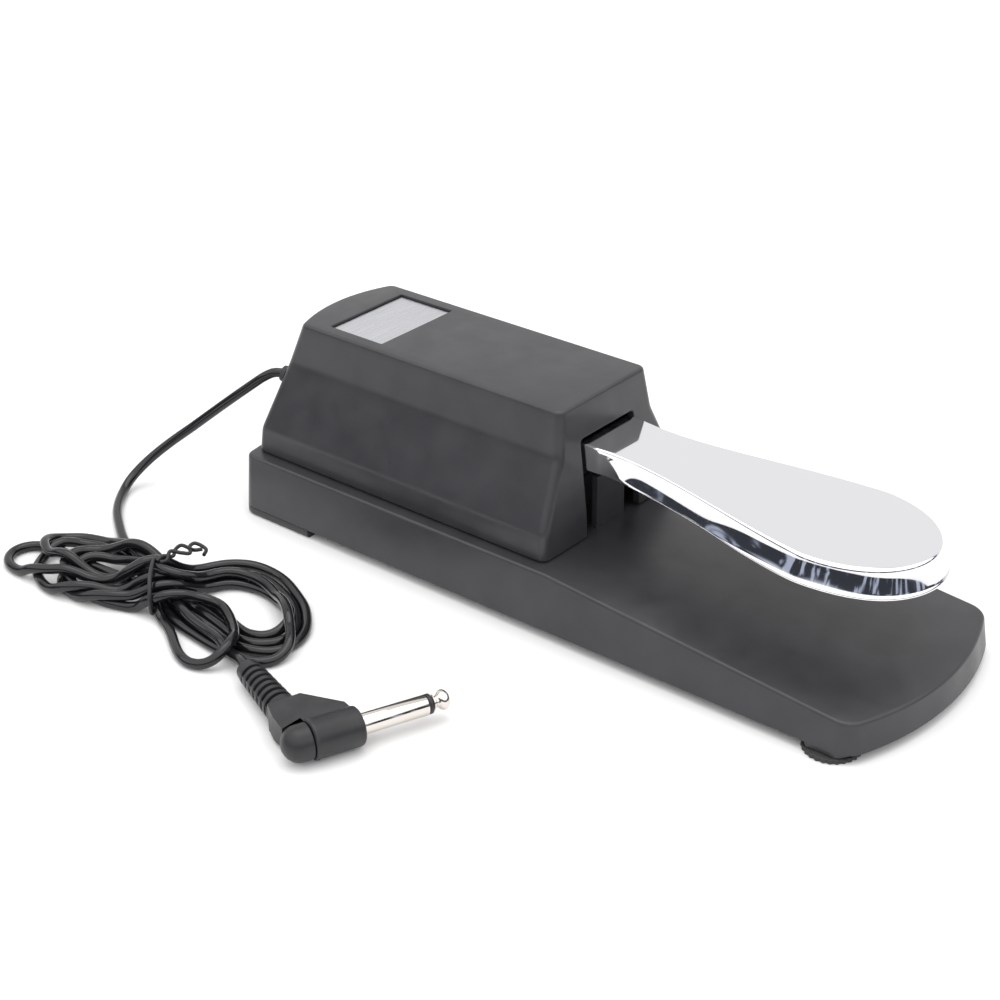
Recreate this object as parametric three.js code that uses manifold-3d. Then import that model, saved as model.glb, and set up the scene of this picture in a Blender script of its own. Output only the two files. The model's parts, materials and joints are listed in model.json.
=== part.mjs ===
// Sustain pedal for an electronic keyboard: a chromed lever in a moulded housing, with its switch,
// return spring and fixed cord that ends in a right-angle jack plug.
// Millimetres. +X is the width, the paddle points to -Y, the cord leaves at +Y, +Z is up.
// The origin is on the floor under the middle of the housing.
import * as THREE from "three";
import { mergeVertices } from "three/addons/utils/BufferGeometryUtils.js";
import Module from "manifold-3d";

const wasm = await Module();
wasm.setup();

// ---------------------------------------------------------------- driving dimensions
const GAP = 0.3; // clearance between pieces that touch

const BASE = {
  halfWidth: 41.3, // at the bottom edge
  frontY: -125.5,
  rearY: 125.5,
  frontSagitta: 9.2, // bulge of the curved front end
  rearSagitta: 3.5,
  frontCorner: 8.2,
  rearCorner: 5,
  bottomZ: 3,
  draft: 1.1, // the walls lean in by this much
  edge: 1, // rounding of the top edge
  deckZ: 22.2, // flat deck under the hood
  noseZ: 12.1, // deck height at the front end
  creaseY: -8, // where the flat deck turns into the slope
  wall: 2.5,
};

const HOOD = {
  wall: 2.5,
  roofZ: 67.2,
  // height, half width, front face and rear apex of each level, from the rim up
  levels: [
    { z: 22.6, half: 35.5, front: -4.6, rear: 123.9 },
    { z: 31, half: 35.2, front: -4.2, rear: 122.8 },
    { z: 53, half: 24.5, front: -1.6, rear: 118.2 },
    { z: 66.3, half: 22.4, front: -0.1, rear: 113.6 },
    { z: 67.2, half: 21.4, front: 0.9, rear: 112.6 },
  ],
  sagitta: 5, // bulge of the rear face
  corner: 3,
  mouthHalf: 13.7,
  mouthTopZ: 55.5,
};

const TONGUE = { half: 7.2, rearY: -1.2, frontY: -3.2, topZ: 40.4 };

const BADGE = { half: 17.2, frontY: 77.4, rearY: 99.5, depth: 1.9, thickness: 0.8 };

const PEDAL = {
  topZ: 54, // top face at y = 0
  slope: 0.037, // rise of the top face towards the rear
  neckHalf: 12.7, // half widths and tip are those of the upper wall
  paddleHalf: 24.4,
  neckY: -6, // where the neck starts to bend
  paddleY: -87, // widest line of the paddle
  waist: { half: 10.2, y: -30 }, // pulls the sides in before they widen
  shoulder: { half: 21.5, y: -58 }, // pulls them out towards the paddle
  tipY: -116.4,
  rootY: 20, // end of the pedal inside the hood
  rootDepth: 8.7, // height of the skirt at the root, along the paddle's sides and at the tip
  sideDepth: 7.7,
  tipDepth: 8.6,
  flare: 2.2, // how far the skirt's lip stands out beyond the upper wall
  plate: 2.2,
  wall: 2.2,
};

const PIVOT = { y: 62, z: 40, radius: 2.5 };

const LEVER = { bottomZ: 45.8, topZ: 48.3, half: 9, frontY: 3, rearY: 86, cheek: 2.3, cheekHalfY: 8 };

const BRACKET = { half: 15.2, sheet: 1.8, halfY: 10, earHalfY: 8, topZ: 46 };

const SPRING = { y: 30, radius: 6.4, wire: 1.5, turns: 5, bottomZ: 25.6, topZ: 45.5 };

const SWITCH = {
  y: 46,
  boardZ: 30,
  boardHalf: 20,
  bodyHalf: 6.4,
  bodyDepth: 3.25,
  bodyTopZ: 39,
  screwX: 15,
};

const DOWN_STOP = { y: 13, postTopZ: 33, topZ: 39 }; // each bumper stands on a post of the base
const UP_STOP = { y: 80, postTopZ: 40 };
const STOP_POST = { halfX: 7, halfY: 4 };

const CLIP = { screwX: -29, y: 84, topZ: 29, cordX: -23, cordZ: 25.6 };

const FOOT = { x: 34.8, y: -107.8, radius: 8.9, bossRadius: 8, height: 1.5, teeth: 26 };

const REAR_PAD = { frontY: 92, inset: 0.2, chamfer: 0.8, height: 2.7 };

const BOTTOM_PLATE = { inset: 3.8, bottomZ: 3.6, thickness: 1.5 };

const CORD = { diameter: 3.3, sides: 8, floorZ: 1.68 };

const BARREL = { radius: 6.1, axisZ: 6.3, faceU: 15.8 };

const HOOD_SCREWS = [
  [-27, 10],
  [27, 10],
  [-27, 99],
  [27, 99],
];
const PLATE_SCREWS = [
  [-33, -70],
  [33, -70],
  [-33, 5],
  [33, 5],
  [-33, 80],
  [33, 80],
];

// ---------------------------------------------------------------- finishes
const finish = (color, roughness, metalness) => ({ color, roughness, metalness });
const SATIN_BLACK = finish(0x3a3a3e, 0.5, 0);
const CHROME = finish(0xe8e8ec, 0.06, 1);
const ZINC = finish(0xb5b8ba, 0.4, 1);
const STEEL = finish(0x8b8f94, 0.35, 1);
const RUBBER = finish(0x1c1c1e, 0.85, 0);
const NYLON = finish(0xe6e2d6, 0.6, 0);
const BADGE_METAL = finish(0xc4c6c9, 0.35, 1);
const BOARD_GREEN = finish(0x23613a, 0.5, 0);
const SWITCH_BLACK = finish(0x222226, 0.45, 0);
const BUTTON_RED = finish(0xa8302a, 0.45, 0);
const CORD_BLACK = finish(0x202024, 0.3, 0);
const PLUG_BLACK = finish(0x2b2b2f, 0.6, 0);
const NICKEL = finish(0xd9d4c6, 0.2, 1);

// ---------------------------------------------------------------- solid helpers
function solid(geometry) {
  const bare = geometry.index ? geometry.toNonIndexed() : geometry.clone();
  bare.deleteAttribute("normal");
  bare.deleteAttribute("uv");
  const merged = mergeVertices(bare, 1e-4);
  return new wasm.Manifold(
    new wasm.Mesh({
      numProp: 3,
      vertProperties: new Float32Array(merged.attributes.position.array),
      triVerts: new Uint32Array(merged.index.array),
    }),
  );
}

function geometryOf(manifold) {
  const mesh = manifold.getMesh();
  const geometry = new THREE.BufferGeometry();
  const count = mesh.vertProperties.length / mesh.numProp;
  const positions = new Float32Array(count * 3);
  for (let i = 0; i < count; i++)
    for (let k = 0; k < 3; k++) positions[3 * i + k] = mesh.vertProperties[mesh.numProp * i + k];
  geometry.setAttribute("position", new THREE.BufferAttribute(positions, 3));
  geometry.setIndex(Array.from(mesh.triVerts));
  geometry.computeVertexNormals();
  return geometry;
}

function box(x0, x1, y0, y1, z0, z1) {
  const geometry = new THREE.BoxGeometry(x1 - x0, y1 - y0, z1 - z0);
  return geometry.translate((x0 + x1) / 2, (y0 + y1) / 2, (z0 + z1) / 2);
}

// A body of revolution about +Z; profile points are [radius, z] from the axis round to the axis.
function turned(profile, sides = 16) {
  const points = profile.map(([r, z]) => new THREE.Vector2(r, z));
  return new THREE.LatheGeometry(points, sides).rotateX(Math.PI / 2);
}

function disc(radius, z0, z1, sides = 20) {
  return turned([[0, z0], [radius, z0], [radius, z1], [0, z1]], sides);
}

function ring(inner, outer, z0, z1, sides = 20) {
  const profile = [[inner, z0], [outer, z0], [outer, z1], [inner, z1], [inner, z0]];
  return turned(profile, sides);
}

// Turns a body made about +Z so that its axis lies along +X.
const alongX = (geometry) => geometry.rotateY(Math.PI / 2);

function extruded(points, z0, z1) {
  const shape = new THREE.Shape(points.map(([x, y]) => new THREE.Vector2(x, y)));
  const geometry = new THREE.ExtrudeGeometry(shape, { depth: z1 - z0, bevelEnabled: false });
  return geometry.translate(0, 0, z0);
}

function circlePoints(radius, count) {
  return Array.from({ length: count }, (_, i) => {
    const angle = (2 * Math.PI * i) / count;
    return new THREE.Vector2(radius * Math.cos(angle), radius * Math.sin(angle));
  });
}

function tube(curve, radius, steps, sides = CORD.sides) {
  const section = new THREE.Shape(circlePoints(radius, sides));
  return new THREE.ExtrudeGeometry(section, { steps, extrudePath: curve });
}

// ---------------------------------------------------------------- plan outlines and lofts
// One end of a plan outline: two rounded corners and the arc between them, from the +X side to the
// -X side when dir is 1 (rear end), and the other way round when dir is -1 (front end).
function outlineEnd({ half, apex, sagitta, corner, dir, arcSteps, cornerSteps }) {
  const points = [];
  const flat = sagitta === 0;
  const radius = flat ? 0 : (half * half + sagitta * sagitta) / (2 * sagitta);
  const reach = flat ? 0 : Math.sqrt((radius - corner) ** 2 - (half - corner) ** 2);
  const arcY = apex - dir * radius;
  const cornerY = flat ? apex - dir * corner : arcY + dir * reach;
  const lean = flat ? Math.PI / 2 : Math.atan2(reach, half - corner);
  for (let i = 0; i <= cornerSteps; i++) {
    const angle = (lean * i) / cornerSteps;
    const x = half - corner + corner * Math.cos(angle);
    points.push([dir * x, cornerY + dir * corner * Math.sin(angle)]);
  }
  for (let i = 1; i < arcSteps && !flat; i++) {
    const angle = lean + ((Math.PI - 2 * lean) * i) / arcSteps;
    points.push([dir * radius * Math.cos(angle), arcY + dir * radius * Math.sin(angle)]);
  }
  for (let i = cornerSteps; i >= 0; i--) {
    const angle = (lean * i) / cornerSteps;
    const x = half - corner + corner * Math.cos(angle);
    points.push([-dir * x, cornerY + dir * corner * Math.sin(angle)]);
  }
  return points;
}

// Plan of the base, inset from its bottom edge. The two crease points split it into a rear part
// and a front part, so that each part of the deck is one plane.
function basePlan(inset) {
  const shared = { half: BASE.halfWidth - inset, arcSteps: 8, cornerSteps: 4 };
  const rear = outlineEnd({
    ...shared,
    apex: BASE.rearY - inset,
    sagitta: BASE.rearSagitta,
    corner: Math.max(BASE.rearCorner - inset, 1.5),
    dir: 1,
  });
  const front = outlineEnd({
    ...shared,
    apex: BASE.frontY + inset,
    sagitta: BASE.frontSagitta,
    corner: Math.max(BASE.frontCorner - inset, 1.5),
    dir: -1,
  });
  const right = [shared.half, BASE.creaseY];
  const left = [-shared.half, BASE.creaseY];
  const points = [right, ...rear, left, ...front];
  const leftIndex = rear.length + 1;
  const order = points.map((_, i) => i);
  const caps = [order.slice(0, leftIndex + 1), [...order.slice(leftIndex), 0]];
  return { points, caps };
}

function hoodPlan(level, inset) {
  const shared = {
    half: level.half - inset,
    corner: Math.max(HOOD.corner - inset, 0.8),
    cornerSteps: 3,
  };
  const rear = { ...shared, apex: level.rear - inset, sagitta: HOOD.sagitta, dir: 1, arcSteps: 8 };
  const front = { ...shared, apex: level.front + inset, sagitta: 0, dir: -1, arcSteps: 0 };
  return [...outlineEnd(rear), ...outlineEnd(front)];
}

// A closed skin over a stack of rings with equal point counts; the two ends are filled by caps,
// each a list of ring indices that spans one plane.
function loft(rings, caps = [rings[0].map((_, i) => i)]) {
  const count = rings[0].length;
  const positions = rings.flat(2);
  const faces = [];
  for (let r = 0; r + 1 < rings.length; r++)
    for (let i = 0; i < count; i++) {
      const j = (i + 1) % count;
      const [a, b, c, d] = [r * count + i, r * count + j, (r + 1) * count + j, (r + 1) * count + i];
      faces.push(a, b, c, a, c, d);
    }
  for (const [ringIndex, flip] of [[0, true], [rings.length - 1, false]])
    for (const cap of caps) {
      const contour = cap.map((i) => new THREE.Vector2(rings[ringIndex][i][0], rings[ringIndex][i][1]));
      for (const [a, b, c] of THREE.ShapeUtils.triangulateShape(contour, [])) {
        const [p, q, s] = [a, b, c].map((k) => ringIndex * count + cap[k]);
        faces.push(...(flip ? [p, s, q] : [p, q, s]));
      }
    }
  const geometry = new THREE.BufferGeometry();
  geometry.setAttribute("position", new THREE.BufferAttribute(new Float32Array(positions), 3));
  geometry.setIndex(faces);
  return geometry;
}

const atHeight = (points, z) => points.map(([x, y]) => [x, y, z]);

function deckHeight(y) {
  const fall = (BASE.deckZ - BASE.noseZ) / (BASE.creaseY - BASE.frontY);
  return BASE.deckZ - fall * Math.max(0, BASE.creaseY - y);
}

const onDeck = (points, drop) => points.map(([x, y]) => [x, y, deckHeight(y) - drop]);

// ---------------------------------------------------------------- scene graph
const group = new THREE.Group();

function add(name, geometry, look) {
  const material = new THREE.MeshStandardMaterial(look);
  const mesh = new THREE.Mesh(geometry, material);
  mesh.name = name;
  group.add(mesh);
  return mesh;
}

// A cross-recessed pan-head screw that stands on its tip along +Z, its head at the top.
function screwGeometry({ shank, length, head, headHeight }) {
  const profile = [
    [0, -length],
    [shank * 0.6, -length],
    [shank, -length + shank],
    [shank, 0],
    [head, 0],
    [head * 0.9, headHeight],
    [0, headHeight],
  ];
  const slot = head * 0.62;
  const half = head * 0.13;
  const bottom = headHeight * 0.45;
  return geometryOf(
    solid(turned(profile, 12))
      .subtract(solid(box(-slot, slot, -half, half, bottom, headHeight + 1)))
      .subtract(solid(box(-half, half, -slot, slot, bottom, headHeight + 1))),
  );
}

// Adds a screw whose head's seat is at the given place; one that points up has its head below.
function addScrew(name, size, [x, y, seatZ], pointsUp = false) {
  const mesh = add(name, screwGeometry(size), ZINC);
  mesh.position.set(x, y, seatZ);
  if (pointsUp) mesh.rotation.x = Math.PI;
}

const SELF_TAPPER = { shank: 1.4, length: 9, head: 2.8, headHeight: 1.6 };
const PLATE_SCREW = { shank: 1.4, length: 8, head: 2.7, headHeight: 1.2 };
const FOOT_SCREW = { shank: 1.4, length: 8, head: 2.7, headHeight: 0.6 };
const pilot = (screw, x, y, z0, z1) => solid(disc(screw.shank + GAP, z0, z1, 12)).translate([x, y, 0]);

// ---------------------------------------------------------------- base
function addBase() {
  const rim = BASE.draft;
  const plans = [0, rim, rim + 0.3 * BASE.edge, rim + BASE.edge].map(basePlan);
  const outer = loft(
    [
      atHeight(plans[0].points, BASE.bottomZ),
      onDeck(plans[1].points, BASE.edge),
      onDeck(plans[2].points, 0.3 * BASE.edge),
      onDeck(plans[3].points, 0),
    ],
    plans[0].caps,
  );
  const hollow = [BASE.wall, BASE.wall + rim].map(basePlan);
  const inner = loft(
    [atHeight(hollow[0].points, BASE.bottomZ - 1), onDeck(hollow[1].points, BASE.wall)],
    hollow[0].caps,
  );
  let base = solid(outer).subtract(solid(inner));

  const underDeck = BASE.deckZ - BASE.wall;
  // the foot bosses stay flush with the walls, and reach a little below them
  const skirt = loft([atHeight(plans[0].points, FOOT.height), atHeight(plans[0].points, BASE.bottomZ)]);
  const within = solid(outer).add(solid(skirt));
  for (const side of [-1, 1]) {
    const boss = solid(disc(FOOT.bossRadius, FOOT.height + GAP, deckHeight(FOOT.y) - 1, 24));
    base = base.add(boss.translate([side * FOOT.x, FOOT.y, 0]).intersect(within));
    base = base.subtract(pilot(FOOT_SCREW, side * FOOT.x, FOOT.y, 0, 10));
  }
  for (const [x, y] of PLATE_SCREWS) {
    const postBottom = BOTTOM_PLATE.bottomZ + BOTTOM_PLATE.thickness + GAP;
    base = base.add(solid(disc(3.6, postBottom, deckHeight(y) - 1, 14)).translate([x, y, 0]));
    base = base.subtract(pilot(PLATE_SCREW, x, y, 0, 12));
  }
  for (const [x, y] of HOOD_SCREWS) base = base.subtract(pilot(SELF_TAPPER, x, y, 15, 30));

  // the upright tongue between the two slots of the mouth, and the posts inside the hood
  const { half, frontY, rearY, topZ } = TONGUE;
  base = base.add(solid(box(-half, half, frontY, rearY, underDeck + 1, topZ)));
  for (const { y, postTopZ } of [DOWN_STOP, UP_STOP]) {
    const { halfX, halfY } = STOP_POST;
    base = base.add(solid(box(-halfX, halfX, y - halfY, y + halfY, underDeck + 1, postTopZ)));
  }
  for (const side of [-1, 1]) {
    const post = disc(3, underDeck + 1, SWITCH.boardZ - GAP, 14);
    const x = side * SWITCH.screwX;
    base = base.add(solid(post).translate([x, SWITCH.y, 0]));
    base = base.subtract(pilot(SELF_TAPPER, x, SWITCH.y, BASE.deckZ + 0.5, 40));
  }
  for (const y of [PIVOT.y - 5, PIVOT.y + 5]) base = base.subtract(pilot(SELF_TAPPER, 0, y, 10, 30));
  base = base.subtract(pilot(SELF_TAPPER, CLIP.screwX, CLIP.y, 10, 30));
  add("base_shell", geometryOf(base), SATIN_BLACK);
}

function addUnderside() {
  const zTop = BOTTOM_PLATE.bottomZ + BOTTOM_PLATE.thickness;
  const plan = basePlan(BOTTOM_PLATE.inset).points;
  let plate = solid(loft([atHeight(plan, BOTTOM_PLATE.bottomZ), atHeight(plan, zTop)]));
  for (const side of [-1, 1]) {
    const cut = solid(disc(FOOT.bossRadius + GAP, 0, 8, 24));
    plate = plate.subtract(cut.translate([side * FOOT.x, FOOT.y, 0]));
  }
  for (const [x, y] of PLATE_SCREWS) plate = plate.subtract(pilot(PLATE_SCREW, x, y, 0, 8));
  add("bottom_plate", geometryOf(plate), ZINC);
  PLATE_SCREWS.forEach(([x, y], i) => {
    const seat = BOTTOM_PLATE.bottomZ - GAP;
    addScrew(`bottom_screw_${i + 1}`, PLATE_SCREW, [x, y, seat], true);
  });

  const [rimInset, faceInset] = [REAR_PAD.inset, REAR_PAD.inset + REAR_PAD.chamfer];
  const pad = solid(
    loft([
      atHeight(basePlan(faceInset).points, 0),
      atHeight(basePlan(rimInset).points, REAR_PAD.chamfer),
      atHeight(basePlan(rimInset).points, REAR_PAD.height),
    ]),
  );
  const rearOnly = solid(box(-60, 60, REAR_PAD.frontY, 140, -1, REAR_PAD.height + 1));
  add("rear_pad", geometryOf(pad.intersect(rearOnly)), RUBBER);

  for (const [side, word] of [[-1, "left"], [1, "right"]]) {
    const rimPoints = Array.from({ length: 2 * FOOT.teeth }, (_, i) => {
      const radius = FOOT.radius - (i % 2) * 0.5;
      const angle = (Math.PI * i) / FOOT.teeth;
      return [radius * Math.cos(angle), radius * Math.sin(angle)];
    });
    const recess = 1;
    const foot = solid(extruded(rimPoints, 0, FOOT.height))
      .subtract(solid(disc(FOOT_SCREW.head + GAP, -1, recess, 16)))
      .subtract(solid(disc(FOOT_SCREW.shank + GAP, 0, FOOT.height + 1, 16)))
      .translate([side * FOOT.x, FOOT.y, 0]);
    add(`front_foot_${word}`, geometryOf(foot), RUBBER);
    const seat = recess - GAP;
    addScrew(`foot_screw_${word}`, FOOT_SCREW, [side * FOOT.x, FOOT.y, seat], true);
  }
}

// ---------------------------------------------------------------- hood
// The cord leaves through the rear face, left of the middle, square to the curved leaning wall.
const GROMMET = { x: -21.6, z: 46, lip: 2.2, inside: 5.4, neck: 2.2 };

function grommetPlace() {
  const [low, high] = [HOOD.levels[1], HOOD.levels[2]];
  const share = (GROMMET.z - low.z) / (high.z - low.z);
  const half = low.half + share * (high.half - low.half);
  const apex = low.rear + share * (high.rear - low.rear);
  const radius = (half * half + HOOD.sagitta ** 2) / (2 * HOOD.sagitta);
  const y = apex - radius + Math.sqrt(radius * radius - GROMMET.x ** 2);
  const turn = Math.asin(-GROMMET.x / radius);
  const tilt = Math.atan((low.rear - high.rear) / (high.z - low.z));
  return { origin: new THREE.Vector3(GROMMET.x, y, GROMMET.z), turn, tilt };
}

// Puts a body made about +Z on the outside of the wall, its +Z pointing out.
function onGrommetAxis(geometry) {
  const { origin, turn, tilt } = grommetPlace();
  return geometry.rotateX(tilt - Math.PI / 2).rotateZ(turn).translate(origin.x, origin.y, origin.z);
}

function grommetPoint(outward) {
  const { origin, turn, tilt } = grommetPlace();
  const level = Math.cos(tilt);
  const axis = new THREE.Vector3(-Math.sin(turn) * level, Math.cos(turn) * level, Math.sin(tilt));
  return origin.addScaledVector(axis, outward);
}

function addHood() {
  const outer = solid(loft(HOOD.levels.map((level) => atHeight(hoodPlan(level, 0), level.z))));
  const innerLevels = HOOD.levels.slice(0, 4);
  const innerRings = innerLevels.map((level) => atHeight(hoodPlan(level, HOOD.wall), level.z));
  innerRings[0] = innerRings[0].map(([x, y, z]) => [x, y, z - 1]);
  innerRings[3] = innerRings[3].map(([x, y]) => [x, y, HOOD.roofZ - HOOD.wall]);
  let hood = outer.subtract(solid(loft(innerRings)));

  for (const [x, y] of HOOD_SCREWS) {
    const boss = solid(disc(4, BASE.deckZ + GAP, 50, 16)).translate([x, y, 0]);
    hood = hood.add(boss.intersect(outer));
    hood = hood.subtract(pilot(SELF_TAPPER, x, y, 20, 34));
  }
  const { mouthHalf, mouthTopZ } = HOOD;
  hood = hood.subtract(solid(box(-mouthHalf, mouthHalf, -10, 6, 20, mouthTopZ)));
  const recess = { x: BADGE.half + GAP, front: BADGE.frontY - GAP, rear: BADGE.rearY + GAP };
  const floor = HOOD.roofZ - BADGE.depth;
  hood = hood.subtract(solid(box(-recess.x, recess.x, recess.front, recess.rear, floor, 80)));
  hood = hood.subtract(solid(onGrommetAxis(disc(GROMMET.neck + GAP, -12, 12, 16))));
  add("hood", geometryOf(hood), SATIN_BLACK);

  const { half, frontY, rearY, depth, thickness } = BADGE;
  const plateBottom = HOOD.roofZ - depth + GAP;
  const plate = box(-half, half, frontY, rearY, plateBottom, plateBottom + thickness);
  add("badge_plate", plate, BADGE_METAL);
  HOOD_SCREWS.forEach(([x, y], i) => {
    const seat = BASE.deckZ - BASE.wall - GAP;
    addScrew(`hood_screw_${i + 1}`, SELF_TAPPER, [x, y, seat], true);
  });
}

// ---------------------------------------------------------------- pedal and lever
// Half outline of the pedal from the root to the tip, as [half width, y]. The offset moves it out
// from the upper wall by an amount that may change along y.
function pedalSide(offset) {
  const { neckHalf, paddleHalf, neckY, paddleY, rootY, tipY, waist, shoulder } = PEDAL;
  const bend = new THREE.CubicBezierCurve(
    new THREE.Vector2(neckHalf, neckY),
    new THREE.Vector2(waist.half, waist.y),
    new THREE.Vector2(shoulder.half, shoulder.y),
    new THREE.Vector2(paddleHalf, paddleY),
  );
  const points = [[neckHalf + offset(rootY), rootY + offset(rootY)]];
  for (const p of bend.getPoints(10)) points.push([p.x + offset(p.y), p.y]);
  const out = offset(paddleY);
  const reach = paddleY - tipY + out;
  for (let i = 1; i < 9; i++) {
    const angle = (Math.PI / 2) * (i / 9);
    points.push([(paddleHalf + out) * Math.cos(angle), paddleY - reach * Math.sin(angle)]);
  }
  return points;
}

function pedalPlan(offset) {
  const right = pedalSide(offset);
  const left = right.map(([x, y]) => [-x, y]).reverse();
  return [[0, PEDAL.tipY - offset(PEDAL.tipY)], ...right.reverse(), ...left.reverse()];
}

// The skirt is upright at the root and opens out towards the paddle.
const flareAt = (y) => PEDAL.flare * THREE.MathUtils.smoothstep(-y, 14, 66);

function skirtDepth(y) {
  const { rootDepth, sideDepth, tipDepth } = PEDAL;
  const nearRoot = 1 - THREE.MathUtils.smoothstep(-y, 1, 18);
  const nearTip = THREE.MathUtils.smoothstep(-y, 92, 116);
  return sideDepth + nearRoot * (rootDepth - sideDepth) + nearTip * (tipDepth - sideDepth);
}

// One ring of the pedal: flare is the share of the skirt's opening, up counts from the lower edge.
function skirtRing({ flare, inset, up }) {
  const plan = pedalPlan((y) => flare * flareAt(y) - inset);
  return plan.map(([x, y]) => [x, y, up - skirtDepth(y)]);
}

function addPedal() {
  const topRing = (inset, down) => atHeight(pedalPlan(() => -inset), -down);
  const skin = loft([
    skirtRing({ flare: 1, inset: 0, up: 0 }),
    skirtRing({ flare: 1, inset: 0, up: 0.5 }),
    skirtRing({ flare: 0.6, inset: 0, up: 1.2 }),
    skirtRing({ flare: 0.25, inset: 0, up: 3 }),
    topRing(0, 2.4),
    topRing(0.7, 0.8),
    topRing(2.3, 0),
  ]);
  const hollow = loft([
    skirtRing({ flare: 1, inset: PEDAL.wall, up: -1 }),
    skirtRing({ flare: 0.25, inset: PEDAL.wall, up: 2.4 }),
    topRing(PEDAL.wall + 0.3, PEDAL.plate),
  ]);
  const tilt = THREE.MathUtils.radToDeg(Math.atan(PEDAL.slope));
  let pedal = solid(skin).subtract(solid(hollow)).rotate([tilt, 0, 0]).translate([0, 0, PEDAL.topZ]);
  const bossBottom = LEVER.topZ + GAP;
  for (const y of PEDAL_SCREW_YS) {
    pedal = pedal.add(solid(disc(4, bossBottom, PEDAL.topZ - 0.9, 16)).translate([0, y, 0]));
    pedal = pedal.subtract(pilot(PEDAL_SCREW, 0, y, 40, PEDAL.topZ - 0.8));
  }
  // a notch in the rear wall lets the lever out
  const notch = LEVER.half + 2 * GAP;
  pedal = pedal.subtract(solid(box(-notch, notch, 15, 25, 40, bossBottom)));
  add("pedal", geometryOf(pedal), CHROME);
}

const PEDAL_SCREW = { shank: 1.2, length: 4.6, head: 2.6, headHeight: 1.5 };
const PEDAL_SCREW_YS = [7.5, 16];

function addLever() {
  const { bottomZ, topZ, half, frontY, rearY, cheek, cheekHalfY } = LEVER;
  const wide = half + cheek;
  const [y0, y1] = [PIVOT.y - cheekHalfY, PIVOT.y + cheekHalfY];
  let lever = solid(box(-half, half, frontY, rearY, bottomZ, topZ));
  lever = lever.add(solid(box(-wide, wide, y0, y1, bottomZ, topZ)));
  for (const side of [-1, 1]) {
    const x0 = side < 0 ? -wide : half;
    lever = lever.add(solid(box(x0, x0 + cheek, y0, y1, PIVOT.z - 5.5, topZ)));
  }
  const eye = solid(alongX(disc(4.1 + GAP, -30, 30, 20))).translate([0, PIVOT.y, PIVOT.z]);
  lever = lever.subtract(eye);
  for (const y of PEDAL_SCREW_YS) lever = lever.subtract(pilot(PEDAL_SCREW, 0, y, 40, 60));
  add("lever_arm", geometryOf(lever), ZINC);
  PEDAL_SCREW_YS.forEach((y, i) => {
    addScrew(`pedal_screw_${i + 1}`, PEDAL_SCREW, [0, y, bottomZ - GAP], true);
  });
}

function addPivot() {
  const { half, sheet, halfY, earHalfY, topZ } = BRACKET;
  const floor = BASE.deckZ + GAP;
  let bracket = solid(box(-half, half, PIVOT.y - halfY, PIVOT.y + halfY, floor, floor + sheet));
  for (const side of [-1, 1]) {
    const x0 = side < 0 ? -half : half - sheet;
    const y0 = PIVOT.y - earHalfY;
    bracket = bracket.add(solid(box(x0, x0 + sheet, y0, y0 + 2 * earHalfY, floor, topZ)));
  }
  const bore = solid(alongX(disc(PIVOT.radius + GAP, -30, 30, 20)));
  bracket = bracket.subtract(bore.translate([0, PIVOT.y, PIVOT.z]));
  for (const y of [PIVOT.y - 5, PIVOT.y + 5]) bracket = bracket.subtract(pilot(SELF_TAPPER, 0, y, 10, 30));
  add("pivot_bracket", geometryOf(bracket), ZINC);
  [PIVOT.y - 5, PIVOT.y + 5].forEach((y, i) => {
    addScrew(`bracket_screw_${i + 1}`, { ...SELF_TAPPER, length: 7 }, [0, y, floor + sheet + GAP]);
  });

  // axle with a head at one end and a grooved end for its retaining clip
  const r = PIVOT.radius;
  const axle = turned(
    [
      [0, -18],
      [4, -18],
      [4, -half - GAP],
      [r, -half - GAP],
      [r, half + GAP],
      [r - 0.6, half + GAP],
      [r - 0.6, half + GAP + 1.4],
      [r, half + GAP + 1.4],
      [r, 18.4],
      [0, 18.4],
    ],
    20,
  );
  add("axle_pin", alongX(axle).translate(0, PIVOT.y, PIVOT.z), STEEL);
  const clipX = half + GAP + 0.3;
  const clip = solid(alongX(ring(r - 0.3, 4.6, clipX, clipX + 0.8, 20)))
    .subtract(solid(box(10, 20, -1.6, 1.6, -6, 0)))
    .translate([0, PIVOT.y, PIVOT.z]);
  add("axle_clip", geometryOf(clip), STEEL);

  for (const [side, word] of [[-1, "left"], [1, "right"]]) {
    const inside = LEVER.half - GAP;
    const outside = LEVER.half + LEVER.cheek + GAP;
    const bush = turned(
      [
        [r + GAP, inside],
        [4.1, inside],
        [4.1, outside],
        [5.2, outside],
        [5.2, outside + 1],
        [r + GAP, outside + 1],
        [r + GAP, inside],
      ],
      20,
    );
    const mesh = add(`pivot_bush_${word}`, alongX(bush), NYLON);
    mesh.position.set(0, PIVOT.y, PIVOT.z);
    if (side < 0) mesh.rotation.z = Math.PI;
  }
}

// ---------------------------------------------------------------- spring, stops and switch
class Helix extends THREE.Curve {
  constructor({ radius, turns, z0, z1 }) {
    super();
    Object.assign(this, { radius, turns, z0, z1 });
  }

  getPoint(t, target = new THREE.Vector3()) {
    const angle = 2 * Math.PI * this.turns * t;
    const z = this.z0 + (this.z1 - this.z0) * t;
    return target.set(this.radius * Math.cos(angle), this.radius * Math.sin(angle), z);
  }
}

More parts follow.
